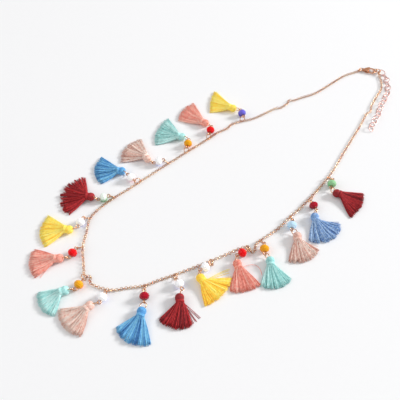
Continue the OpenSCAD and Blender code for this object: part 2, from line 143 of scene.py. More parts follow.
def ways(path: np.ndarray) -> tuple[np.ndarray, np.ndarray, np.ndarray]:
    """Works out the directions at each point of a path that never runs straight up.

    Ahead is the path's own direction, side is UP x ahead, and rise is ahead x side.

    Args:
        path: Points [..., point, xyz].

    Returns:
        The ways ahead, to the side and up.
    """
    ahead = normalised(np.gradient(path, axis=-2))
    side = normalised(np.cross(UP, ahead))
    return ahead, side, np.cross(ahead, side)


# Shaders

@dataclass(frozen=True)
class Value:
    """A number in a shader. Python's operators on it add the Math nodes."""

    graph: "Graph"
    socket: bpy.types.NodeSocket

    def math(self, operation: str, *operands: Any) -> "Value":
        """Returns what a Math node makes of its operands, numbers or values."""
        return self.graph.add("ShaderNodeMath", {"operation": operation}, dict(enumerate(operands)))

    def __add__(self, other: Any) -> "Value":
        """Returns self + other."""
        return self.math("ADD", self, other)

    def __sub__(self, other: Any) -> "Value":
        """Returns self - other."""
        return self.math("SUBTRACT", self, other)

    def __rsub__(self, other: Any) -> "Value":
        """Returns other - self."""
        return self.math("SUBTRACT", other, self)

    def __mul__(self, other: Any) -> "Value":
        """Returns self * other."""
        return self.math("MULTIPLY", self, other)

    __radd__ = __add__
    __rmul__ = __mul__

    def sine(self) -> "Value":
        """Returns the sine of a number in radians."""
        return self.math("SINE", self)

    def ease(self, low: float, high: float) -> "Value":
        """Returns 0 below low, 1 above high, and a smooth step between them."""
        sockets = {"Value": self, "From Min": low, "From Max": high}
        return self.graph.add("ShaderNodeMapRange", {"interpolation_type": "SMOOTHSTEP"}, sockets)


class Graph:
    """The node tree of a material or of the world."""

    def __init__(self, owner: bpy.types.Material | bpy.types.World) -> None:
        """Empties the owner's tree.

        Args:
            owner: The material or the world.
        """
        owner.use_nodes = True
        self.owner = owner
        self.tree = owner.node_tree
        self.tree.nodes.clear()

    def add(
        self,
        kind: str,
        settings: dict[str, Any] | None = None,
        sockets: dict[Any, Any] | None = None,
        out: int | str = 0,
    ) -> Value:
        """Adds a node, sets it and joins it up.

        Args:
            kind: The node's type.
            settings: Its properties, set first. The key stops holds a ramp's places and colours.
            sockets: Values or links for its inputs, by name or number.
            out: The output that is returned.

        Returns:
            That output as a value.
        """
        node = self.tree.nodes.new(kind)
        for key, setting in (settings or {}).items():
            if key == "stops":
                self.set_stops(node, setting)
            else:
                setattr(node, key, setting)
        for key, given in (sockets or {}).items():
            if isinstance(given, Value):
                self.tree.links.new(given.socket, node.inputs[key])
            else:
                node.inputs[key].default_value = given
        return Value(self, node.outputs[out])

    def set_stops(self, node: bpy.types.Node, stops: Sequence[tuple[float, Colour]]) -> None:
        """Gives a ramp its stops.

        Args:
            node: The ramp.
            stops: Pairs of a place and a linear colour.
        """
        elements = node.color_ramp.elements
        while len(elements) < len(stops):
            elements.new(1.0)
        for element, (place, colour) in zip(elements, stops):
            element.position = place
            element.color = colour

    def mix(self, share: Any, first: Any, second: Any) -> Value:
        """Returns the first colour at a share of 0, the second at 1, and a blend between."""
        sockets = {0: share, 6: first, 7: second}  # the node's inputs for colours
        return self.add("ShaderNodeMix", {"data_type": "RGBA"}, sockets, 2)

    def place(self, kind: str = "Object") -> Value:
        """Returns the position on the piece, in metres, or another kind of coordinates."""
        return self.add("ShaderNodeTexCoord", out=kind)

    def height(self, vector: Value) -> Value:
        """Returns the Z of a vector."""
        return self.add("ShaderNodeSeparateXYZ", {}, {0: vector}, "Z")

    def noise(self, size: float, detail: float = 2.0) -> Value:
        """Returns noise from 0 to 1 over the piece, with features of a size in millimetres."""
        sockets = {"Vector": self.place(), "Scale": 1 / (size * MM), "Detail": detail}
        return self.add("ShaderNodeTexNoise", {}, sockets)

    def attribute(self, name: str) -> Value:
        """Returns the number that a mesh stores under a name."""
        return self.add("ShaderNodeAttribute", {"attribute_name": name}, {}, "Fac")

    def bump(self, height: Value, depth: float, strength: float) -> Value:
        """Returns a normal bent by a height from 0 to 1, where 1 stands depth millimetres up."""
        sockets = {"Height": height, "Distance": depth * MM, "Strength": strength}
        return self.add("ShaderNodeBump", {}, sockets)

    def finish(
        self,
        sockets: dict[str, Any],
        shader: str = "ShaderNodeBsdfPrincipled",
        output: str = "ShaderNodeOutputMaterial",
    ) -> bpy.types.Material | bpy.types.World:
        """Joins the shader to the output.

        Args:
            sockets: Inputs of the shader.
            shader: The shader's type.
            output: The output's type.

        Returns:
            The material or the world.
        """
        surface = self.add(shader, {}, sockets)
        end = self.tree.nodes.new(output)
        self.tree.links.new(surface.socket, end.inputs["Surface"])
        return self.owner


@dataclass(frozen=True)
class PlatedMetal:
    """Polished plating on small findings, with faint wear and scratches. Sizes are millimetres."""

    name: str
    bright: Screen
    deep: Screen
    roughness: float = 0.2
    even: float | None = None
    stored_tone_share: float = 0.75
    cloud_size: float = 1.6
    cloud_dulls: float = 0.06
    grain_size: float = 0.12
    grain_depth: float = 0.01
    grain_dulls: float = 0.12

    def material(self) -> bpy.types.Material:
        """Makes the material: each part's stored tone, cloudy colour, uneven gloss and a fine grain.

        The colour takes stored_tone_share from the stored tone, which on the chain holds painted
        light on the links that lie flat, and the rest from the cloud. A solid that
        stores no tone takes the even one. Cloud and grain add to the roughness by their dulls.

        Returns:
            The material.
        """
        g = Graph(bpy.data.materials.new(self.name))
        cloud = g.noise(self.cloud_size, detail=3.0).ease(low=0.3, high=0.7)
        grain = g.noise(self.grain_size, detail=4.0)
        tone = g.attribute("tone") if self.even is None else self.even
        # The stored tone holds painted light on the chain's flat links
        share = (1 - self.stored_tone_share) * cloud + self.stored_tone_share * tone
        return g.finish({
            "Base Color": g.mix(share, linear(self.deep), linear(self.bright)),
            "Metallic": 1.0,
            "Roughness": self.roughness + self.grain_dulls * (grain - 0.5) + self.cloud_dulls * cloud,
            "Normal": g.bump(grain, self.grain_depth, strength=0.35),
        })


@dataclass(frozen=True)
class Cotton:
    """Fine cotton thread. A stored tone makes each thread lighter or darker: partly tone that
    differs at random, partly painted light and painted shade.

    The painted_glow is painted light: the cotton gives off light of its own colour, standing for
    the light that passes from thread to thread and comes back out. Crimp is how much the
    thread's waves change its tone. Sizes are millimetres.
    """

    name: str
    light: Screen
    main: Screen
    dark: Screen
    painted_glow: float = 0.0
    crimp: float = 1.6
    crimp_size: float = 1.3
    speckle_size: float = 0.35
    speckle_light: float = 0.16
    speckle_dulls: float = 0.2
    roughness: float = 0.62
    twist_len: float = 0.5
    twist_depth: float = 0.05

    def material(self) -> bpy.types.Material:
        """Makes the material from each thread's tone, its crimp and twist, and a soft sheen.

        The tone plus crimp * (noise - 0.5) picks a colour between dark, main and light, and
        speckles lighten and dull it. The twist is a sine along the thread and twice round it.

        Returns:
            The material.
        """
        g = Graph(bpy.data.materials.new(self.name))
        light, main, dark = linear(self.light), linear(self.main), linear(self.dark)
        tone = g.attribute("tone")
        crimp = self.crimp * (g.noise(self.crimp_size, detail=3.0) - 0.5)
        stops = [(0.0, dark), (0.5, main), (1.0, light)]
        colour = g.add("ShaderNodeValToRGB", {"stops": stops}, {0: tone + crimp})
        speckle = g.noise(self.speckle_size).ease(low=0.25, high=0.75)
        worn = g.mix(self.speckle_light * speckle, colour, light)
        along = g.attribute("along") * (2 * math.pi / self.twist_len)
        around = g.attribute("around") * (4 * math.pi)
        twist = (along + around).sine() * 0.5 + 0.5
        return g.finish({
            "Base Color": worn,
            # Painted light: the cotton gives off light of its own colour
            "Emission Color": worn,
            "Emission Strength": self.painted_glow,
            "Roughness": self.roughness + self.speckle_dulls * speckle,
            "Sheen Weight": 0.3,
            "Sheen Roughness": 0.4,
            "Sheen Tint": light,
            "Normal": g.bump(twist, self.twist_depth, strength=0.5),
        })


@dataclass(frozen=True)
class CutGlass:
    """Facet-cut glass bead, clear or milky, with a tinted rim below a top lightened by a painted
    highlight.

    The tint turns from rim to the painted highlight of the top between the heights low and high,
    in millimetres. The painted_glow is painted light: the glass gives off light of its own tint,
    standing for the light that milky glass scatters back out.
    """

    name: str
    # top is the colour of the painted highlight, rim the tint below it
    top: Screen
    rim: Screen
    low: float
    high: float
    clear: float  # share of the light that passes through
    painted_glow: float = 0.0
    veil_size: float = 1.4
    veil_shift: float = 0.9
    veil_dulls: float = 0.05
    roughness: float = 0.03

    def material(self) -> bpy.types.Material:
        """Makes the material: tint by height with a painted highlight on top, shifted by faint veils
        inside, and full gloss.

        The height in millimetres gains veil_shift * (veil - 0.5) before it picks the tint.

        Returns:
            The material.
        """
        g = Graph(bpy.data.materials.new(self.name))
        height = g.height(g.place()) * (1 / MM)
        veil = g.noise(self.veil_size)
        share = (height + self.veil_shift * (veil - 0.5)).ease(self.low, self.high)
        # Painted highlight: the rim's tint turns to the lighter top colour higher up
        tint = g.mix(share, linear(self.rim), linear(self.top))
        return g.finish({
            "Base Color": tint,
            # Painted light: the glass gives off light of its own tint
            "Emission Color": tint,
            "Emission Strength": self.painted_glow,
            "Roughness": self.roughness + self.veil_dulls * veil,
            "Transmission Weight": self.clear,
            "IOR": 1.54,
            "Specular IOR Level": 0.3,
        })


@dataclass(frozen=True)
class PaleSurface:
    """The matt pale surface that the necklace lies on."""

    colour: Screen = (247, 247, 248)
    shade: float = 0.985
    grain_size: float = 3.0

    def material(self) -> bpy.types.Material:
        """Makes the material with a barely visible unevenness.

        Returns:
            The material.
        """
        g = Graph(bpy.data.materials.new("pale_surface"))
        colour = linear(self.colour)
        shaded = tuple(self.shade * c for c in colour[:3]) + (1.0,)
        return g.finish({
            "Base Color": g.mix(g.noise(self.grain_size, detail=3.0), shaded, colour),
            "Roughness": 0.8,
            "Specular IOR Level": 0.2,
        })


# Meshes

def linked(name: str, data: bpy.types.ID) -> bpy.types.Object:
    """Makes an object and links it to the scene.

    Args:
        name: Its name.
        data: Its mesh, light or camera.

    Returns:
        The object.
    """
    made = bpy.data.objects.new(name, data)
    bpy.context.scene.collection.objects.link(made)
    return made


class Skin:
    """Collects grids of points and turns them into one piece of closed forms."""

    def __init__(self) -> None:
        """Starts with nothing."""
        self.points: list[np.ndarray] = []
        self.corners: list[np.ndarray] = []
        self.sizes: list[np.ndarray] = []
        self.stored: dict[str, list[np.ndarray]] = {"tone": [], "along": [], "around": []}
        self.count = 0

    def add(
        self,
        grid: np.ndarray,
        ring: bool = False,
        tone: np.ndarray | float = 0.5,
        along: np.ndarray | float = 0.0,
    ) -> None:
        """Adds closed forms whose sections run anticlockwise about the way they follow.

        Args:
            grid: Points [form, section, point of the section, xyz], or one form's, in millimetres.
            ring: Whether the last section joins the first. Otherwise both ends are capped.
            tone: Lightness that each point stores, 0 to 1, spread over the grid.
            along: Distance along the form that each point stores, in millimetres.
        """
        grid = grid.reshape(-1, *grid.shape[-3:])
        forms, sections, sides, _ = grid.shape
        index = self.count + np.arange(forms * sections * sides).reshape(forms, sections, sides)
        ahead = np.roll(index, -1, axis=1) if ring else index[:, 1:]
        here = index if ring else index[:, :-1]
        quads = np.stack([here, np.roll(here, -1, 2), np.roll(ahead, -1, 2), ahead], -1)
        self.take(quads.reshape(-1, 4))
        if not ring:
            self.take(index[:, 0, ::-1])
            self.take(index[:, -1])
        self.points.append(grid.reshape(-1, 3) * MM)
        around = np.arange(sides) / sides
        for key, given in (("tone", tone), ("along", along), ("around", around)):
            shaped = np.asarray(given, dtype=np.float64)
            self.stored[key].append(np.broadcast_to(shaped, grid.shape[:3]).ravel())
        self.count += forms * sections * sides

    def take(self, faces: np.ndarray) -> None:
        """Adds faces that all have the same number of corners."""
        self.corners.append(faces.ravel())
        self.sizes.append(np.full(len(faces), faces.shape[1]))

    def mesh(self, name: str, smooth: bool) -> bpy.types.Mesh:
        """Makes the mesh of all that was added, with its stored numbers.

        Args:
            name: The mesh's name.
            smooth: Whether its faces are shaded as one round surface.

        Returns:
            The mesh.
        """
        points = np.concatenate(self.points)
        corners = np.concatenate(self.corners).astype(np.int32)
        sizes = np.concatenate(self.sizes).astype(np.int32)
        starts = np.concatenate([[0], np.cumsum(sizes)[:-1]]).astype(np.int32)
        data = bpy.data.meshes.new(name)
        data.vertices.add(len(points))
        data.vertices.foreach_set("co", points.ravel().astype(np.float32))
        data.loops.add(len(corners))
        data.loops.foreach_set("vertex_index", corners)
        data.polygons.add(len(sizes))
        data.polygons.foreach_set("loop_start", starts)
        data.polygons.foreach_set("use_smooth", np.full(len(sizes), smooth))
        for key, parts in self.stored.items():
            layer = data.attributes.new(key, "FLOAT", "POINT")
            layer.data.foreach_set("value", np.concatenate(parts).astype(np.float32))
        data.update(calc_edges=True)
        data.validate()
        return data

    def piece(
        self,
        name: str,
        node: str,
        colour: Enum,
        finish: bpy.types.Material,
        smooth: bool = True,
    ) -> bpy.types.Object:
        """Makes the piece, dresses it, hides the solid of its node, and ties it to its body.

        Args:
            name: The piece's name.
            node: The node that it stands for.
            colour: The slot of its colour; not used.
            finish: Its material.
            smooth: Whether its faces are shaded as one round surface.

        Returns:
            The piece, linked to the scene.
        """
        piece = linked(name, self.mesh(name, smooth))
        piece.data.materials.append(finish)
        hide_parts(node)
        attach(piece, NECKLACE)
        return piece


def hoop(
    centre: np.ndarray,
    out: np.ndarray,
    up: np.ndarray,
    radius: float,
    wire: float,
    segments: int,
    sides: int,
    cut: float = 0.0,
) -> np.ndarray:
    """Works out round rings of round wire.

    The wire's middle is centre + radius * (cos a * out + sin a * up), and its skin stands
    half a wire off that circle, along its radius and across the ring's plane.

    Args:
        centre: Middles [ring, xyz], or one ring's.
        out: Directions of angle 0.
        up: Directions of angle 90.
        radius: Radius of the wire's middle line.
        wire: The wire's diameter.
        segments: Sections round the ring.
        sides: Points round the wire.
        cut: Opening in degrees, centred on angle 0. With 0 the ring is closed.

    Returns:
        The grid [ring, section, point, xyz].
    """
    centre, out, up = (np.atleast_2d(v)[:, None, None, :] for v in (centre, out, up))
    a = np.radians(np.linspace(cut / 2, 360 - cut / 2, segments, endpoint=cut > 0))[:, None, None]
    b = circle(sides)[:, None]
    spoke = np.cos(a) * out + np.sin(a) * up
    across = np.cross(out, up)
    return centre + spoke * (radius + wire / 2 * np.cos(b)) - across * (wire / 2 * np.sin(b))


def oval(length: float, width: float, wire: float, half: int, sides: int) -> np.ndarray:
    """Works out one oval link that lies in the XY plane, long along X.

    Its middle line is two half circles joined by straight runs.

    Args:
        length: Length over all.
        width: Width over all.
        wire: The wire's diameter.
        half: Sections in each half circle.
        sides: Points round the wire.

    Returns:
        The grid [section, point, xyz].
    """
    radius = (width - wire) / 2
    shift = (length - wire) / 2 - radius
    turn = np.radians(np.linspace(-90, 90, half))
    a = np.concatenate([turn, turn + np.pi])
    offset = np.concatenate([np.full(half, shift), np.full(half, -shift)])
    spoke = np.stack([np.cos(a), np.sin(a), 0 * a], -1)
    middle = radius * spoke + np.stack([offset, 0 * a, 0 * a], -1)
    b = circle(sides)[None, :, None]
    return middle[:, None, :] + wire / 2 * (np.cos(b) * spoke[:, None, :] - np.sin(b) * UP)


def swept(path: np.ndarray, radius: np.ndarray | float, sides: int) -> np.ndarray:
    """Works out tubes along paths that never run straight up.

    The section at each point is a circle square to the path's direction there.

    Args:
        path: Points [tube, section, xyz].
        radius: Radius, one number or [tube, section].
        sides: Points round the tube.

    Returns:
        The grid [tube, section, point, xyz].
    """
    _, side, rise = ways(path)
    b = circle(sides)[:, None]
    ring = np.cos(b) * side[:, :, None, :] + np.sin(b) * rise[:, :, None, :]
    size = np.broadcast_to(np.asarray(radius, dtype=float), path.shape[:2])
    return path[:, :, None, :] + size[:, :, None, None] * ring


# The layout of the necklace

@dataclass(frozen=True)
class Drop:
    """One drop: where it hangs, how its pieces lie, and its colours.

    Headings are degrees from X. A fringe's edges point off the tassel's heading, and its
    lengths are shares of the standard fringe's.
    """

    at: int  # point of ROUTE
    jump: float  # heading of its jump ring
    pin: float  # heading of its eye pin and bead
    ring: float  # heading of the tassel's ring
    lean: float  # that ring's angle from upright
    head: float  # heading of the tassel
    left: float  # angle of the fringe's left edge
    l_left: float  # length of that edge
    right: float  # angle of its right edge
    l_right: float  # length of that edge
    l_mid: float  # length of its middle
    yarn: Yarn
    glass: Glass


# X and Y of the chain's middle line, from the clasp round to the junction ring
ROUTE = np.array([
    [189.4, 22.6], [178, 25.6], [165, 25.8], [154, 25.6], [141, 26], [129, 29.2],
    [121.6, 31], [118.8, 33.4], [115, 31.4], [107, 31.2], [104, 33.2], [94, 34.2],
    [82, 35.8], [72, 39.5], [64, 41.6], [58.5, 40.4], [50, 41.6], [39.5, 40.8],
    [29, 40.7], [17.5, 40.4], [9, 40.1], [1.5, 39.9], [-11, 39.6], [-24.5, 38.8],
    [-35, 38.5], [-46.5, 38.2], [-58, 37.4], [-69.5, 33.7], [-77.5, 25.4], [-85, 17.2],
    [-90.5, 7], [-94.5, -1.5], [-92, -4.6], [-94.2, -7.6], [-92.5, -13], [-86.2, -21],
    [-78, -25.4], [-68.3, -31], [-59, -33.4], [-49, -36.6], [-36, -40], [-24, -43.2],
    [-13, -45.6], [-5.5, -47], [1.2, -49.8], [0.4, -53.4], [2.4, -55], [4.4, -53.4],
    [6.6, -51.8], [11, -51.4], [25, -51.8], [40, -50.2], [51, -48.9], [62, -47.3],
    [73, -45.1], [85.3, -42.4], [95, -39.4], [115, -32], [128, -27.4], [141, -22.8],
    [151, -18.8], [157.5, -16.2], [162, -16.4], [167, -12.9], [179, -8.2], [189.5, -4.2],
    [196.5, 1.8], [200, 6.6],
])
# The drops, in their order along the route
DROPS = (
    Drop(13, 15, 70, 125, 20, 115, 40, 0.92, -35, 1.35, 0.94, Yarn.YELLOW, Glass.VIOLET),
    Drop(17, 30, 42, 98, 22, 110, 22, 1.08, -42, 1.35, 1.18, Yarn.CORAL, Glass.RED),
    Drop(19, 30, 45, 105, 10, 125, 40, 1.06, -50, 1.26, 1.03, Yarn.MINT, Glass.ORANGE),
    Drop(21, 115, 162, 108, 22, 90, 65, 1.03, -25, 1.12, 1.06, Yarn.BEIGE, Glass.WHITE),
    Drop(23, 155, 95, 95, 20, 135, 50, 0.85, -40, 1.12, 0.97, Yarn.BLUE, Glass.WHITE),
    Drop(25, 142, 165, 112, 22, 135, 60, 1.00, -70, 1.04, 1.07, Yarn.DARK_RED, Glass.GREEN),
    Drop(27, 152, 207, 175, 32, 135, 55, 0.95, -35, 1.04, 0.95, Yarn.YELLOW, Glass.WHITE),
    Drop(29, 170, 203, 147, 22, 145, 45, 0.95, -30, 1.01, 0.94, Yarn.CORAL, Glass.RED),
    Drop(31, 230, 200, 143, 22, 160, 65, 0.85, -20, 0.81, 0.83, Yarn.MINT, Glass.ORANGE),
    Drop(35, 170, 208, 153, 22, 185, 45, 0.92, -45, 0.95, 0.91, Yarn.BEIGE, Glass.WHITE),
    Drop(37, 235, 235, 220, 75, 220, 35, 1.03, -55, 0.89, 0.95, Yarn.BLUE, Glass.RUBY),
    Drop(39, 250, 260, 210, 10, 240, 20, 0.90, -60, 0.92, 0.91, Yarn.DARK_RED, Glass.WHITE),
    Drop(41, 223, 170, 222, 22, 270, 64, 1.04, -35, 0.87, 0.82, Yarn.YELLOW, Glass.WHITE),
    Drop(44, 226, 169, 224, 22, 248, 35, 0.97, -37, 0.95, 0.90, Yarn.CORAL, Glass.RED),
    Drop(49, 265, 230, 275, 10, 235, 50, 0.88, -30, 0.88, 0.88, Yarn.MINT, Glass.ORANGE),
    Drop(51, 240, 222, 278, 22, 235, 60, 0.82, -30, 0.94, 0.86, Yarn.BEIGE, Glass.LIGHT_BLUE),
    Drop(53, 225, 253, 206, 22, 240, 76, 0.95, -30, 0.89, 0.94, Yarn.BLUE, Glass.RUBY),
    Drop(55, 270, 215, 255, 15, 305, 25, 0.96, -60, 1.07, 0.90, Yarn.DARK_RED, Glass.GREEN),
)
# Headings of the extender's links, from the junction ring
LINK_HEADINGS = (
    -86, -112, -136, -134, -134, -146, -160, -156, -158, -160, -148, -152, -162, -160, -154, -152,
)


@dataclass
class Layout:
    """Sizes of the findings, and where each one lies.

    Heights are above the surface and headings in degrees from X.
    """

    middle: tuple[float, float] = (39.34, -2.99)  # the tables' point at the frame's origin
    chain_r: float = 0.85
    lift: float = 0.4  # how far a jump ring raises the chain
    gap: float = 0.16  # play where one wire passes through another
    rest: float = 0.02  # how far above the surface things lie
    jump_d: float = 5.0
    jump_wire: float = 0.6
    pin_wire: float = 0.6
    eye_d: float = 2.7
    bead_d: float = 6.4
    bead_len: float = 4.6
    ring_d: float = 4.8
    ring_wire: float = 0.6
    cover: float = 0.8  # yarn over the ring in a tassel's head
    clasp_at: tuple[float, float] = (195.2, 20.6)
    clasp_heading: float = -50.0
    clasp_z: float = 1.42
    hook_reach: float = 7.0
    hook_d: float = 5.5
    bar_turn: float = 5.0  # from the clasp's heading to the place where the hook's ring hangs
    finding_wire: float = 0.7
    finding_d: float = 4.0
    junction_d: float = 4.6
    tight: float = 0.8  # share of the play that the junction ring has in the hook's ring
    end_d: float = 2.6
    end_wire: float = 0.6
    end_heading: float = 226.0

    def __post_init__(self) -> None:
        """Works out the heights, the jump rings' rise and lean, and the seats in an eye.

        A jump ring rises over its span from the chain to the pin, and leans to one side until
        its lowest wire rests on the surface.
        """
        self.pin_z = self.bead_d / 2 + self.rest
        self.station_z = self.chain_r + self.lift
        self.span = self.jump_d - self.jump_wire
        self.rise = math.asin((self.pin_z - self.station_z) / self.span)
        height = (self.pin_z + self.station_z) / 2 - self.jump_wire / 2 - self.rest
        level = math.sqrt((height / (self.span / 2)) ** 2 - math.sin(self.rise) ** 2)
        self.lean = math.acos(level / math.cos(self.rise))
        self.ring_r = (self.ring_d - self.ring_wire) / 2
        self.eye_r = (self.eye_d - self.pin_wire) / 2
        self.to_bead = self.eye_d / 2 + self.gap + self.bead_len / 2
        inner = self.eye_d / 2 - self.pin_wire - self.gap
        self.jump_seat = inner - self.jump_wire / 2
        self.ring_seat = inner - self.ring_wire / 2
        self.finding_r = (self.finding_d - self.finding_wire) / 2
        self.junction_r = (self.junction_d - self.finding_wire) / 2
        self.end_r = (self.end_d - self.end_wire) / 2

    def flat(self, point: Sequence[float]) -> np.ndarray:
        """Returns a point of the tables in the part's own frame, on the surface."""
        return np.array([point[0] - self.middle[0], point[1] - self.middle[1], 0.0])

    def station(self, drop: Drop) -> np.ndarray:
        """Returns where a drop's jump ring passes through the chain."""
        return self.flat(ROUTE[drop.at]) + self.station_z * UP

    def jump_far(self, drop: Drop) -> np.ndarray:
        """Returns the middle of the jump ring's far wire."""
        slope = math.cos(self.rise) * unit(drop.jump) + math.sin(self.rise) * UP
        return self.station(drop) + self.span * slope

    def on_pin(self, drop: Drop, steps: int) -> np.ndarray:
        """Returns the middle of a pin's upper eye (0 steps), its bead (1) or its lower eye (2)."""
        return self.jump_far(drop) + (self.jump_seat + steps * self.to_bead) * unit(drop.pin)

    def ring(self, drop: Drop) -> np.ndarray:
        """Returns the middle of the tassel's ring."""
        return self.on_pin(drop, 2) + (self.ring_seat + self.ring_r) * unit(drop.ring)

    def head(self, drop: Drop) -> np.ndarray:
        """Returns the top of the tassel's head, dropped to the surface."""
        far = self.ring(drop) + self.ring_r * unit(drop.ring)
        return (far - (self.ring_wire / 2 + self.cover) * unit(drop.head)) * LEVEL

    def swing(self, drop: Drop) -> int:
        """Returns the side to which the jump ring leans: 1 for left, -1 for right."""
        return 1 if drop.pin >= drop.jump else -1

    def jump_wire_way(self, drop: Drop) -> np.ndarray:
        """Works out the direction of the jump ring's wire inside the eye.

        It is square to the way from the chain to the pin, and tipped to one side by the lean.

        Args:
            drop: The drop.

        Returns:
            The direction.
        """
        across = -math.sin(self.rise) * unit(drop.jump) + math.cos(self.rise) * UP
        sideways = self.swing(drop) * math.sin(self.lean) * left_of(drop.jump)
        return math.cos(self.lean) * across + sideways

    def ring_wire_way(self, drop: Drop) -> np.ndarray:
        """Returns the direction of the tassel ring's wire inside the eye."""
        lean = math.radians(drop.lean)
        return math.sin(lean) * left_of(drop.ring) + math.cos(lean) * UP

    @property
    def eye(self) -> np.ndarray:
        """Returns the middle of the clasp's eye."""
        return self.flat(self.clasp_at) + self.clasp_z * UP

    @property
    def bar_heading(self) -> float:
        """Returns the heading of the place on the hook where its ring hangs."""
        return self.clasp_heading + self.bar_turn

    @property
    def hook_ring(self) -> np.ndarray:
        """Works out the middle of the ring on the hook, which stands upright on the surface.

        Returns:
            The point.
        """
        hook = self.eye + self.hook_reach * unit(self.clasp_heading)
        bar = hook + self.hook_d / 2 * unit(self.bar_heading)
        return bar * LEVEL + (self.finding_d / 2 + self.rest) * UP

    @property
    def junction(self) -> np.ndarray:
        """Returns the middle of the ring whose near wire lies inside the hook ring's far one."""
        reach = self.finding_d / 2 - 1.5 * self.finding_wire - self.tight * self.gap + self.junction_r
        return self.hook_ring + reach * unit(self.bar_heading)

    @property
    def clasp_ring(self) -> np.ndarray:
        """Returns the middle of the ring between the clasp's eye and the chain."""
        return self.eye - self.finding_r * unit(self.clasp_heading)

    def end_loops(self) -> list[tuple[np.ndarray, float]]:
        """Works out where the loop at each end of the chain lies.

        Returns:
            Each loop's middle and its heading.
        """
        seat = self.end_d / 2 - self.end_wire - self.finding_wire / 2 - self.gap
        way = self.flat(ROUTE[0]) - self.clasp_ring
        start = math.degrees(math.atan2(way[1], way[0]))
        return [
            (self.clasp_ring + (self.finding_r + seat) * unit(start), start),
            (self.junction + (self.junction_r + seat) * unit(self.end_heading), self.end_heading),
        ]

    def curve(self, steps: int = 24) -> tuple[np.ndarray, np.ndarray]:
        """Follows the chain's route as a smooth curve.

        Between two points it is a cubic whose ends lean along half the way between each
        point's own neighbours.

        Args:
            steps: Points between two points of the route.

        Returns:
            The curve [point, xyz], and the place on it of every point of the route.
        """
        heights = np.full(len(ROUTE), self.chain_r + self.rest)
        heights[[drop.at for drop in DROPS]] = self.station_z
        route = np.array([self.flat(point) + z * UP for point, z in zip(ROUTE, heights)])
        (first, start), (last, end) = self.end_loops()
        path = np.vstack([first + self.end_r * unit(start), route, last + self.end_r * unit(end)])
        padded = np.vstack([path[:1], path, path[-1:]])
        bend = (padded[2:] - padded[:-2]) / 2
        t = np.linspace(0, 1, steps, endpoint=False)[None, :, None]
        p0, p1 = path[:-1, None], path[1:, None]
        b0, b1 = bend[:-1, None], bend[1:, None]
        points = (2 * t**3 - 3 * t**2 + 1) * p0 + (t**3 - 2 * t**2 + t) * b0
        points = points + (3 * t**2 - 2 * t**3) * p1 + (t**3 - t**2) * b1
        return np.vstack([points.reshape(-1, 3), path[-1:]]), np.arange(len(path)) * steps


# The findings

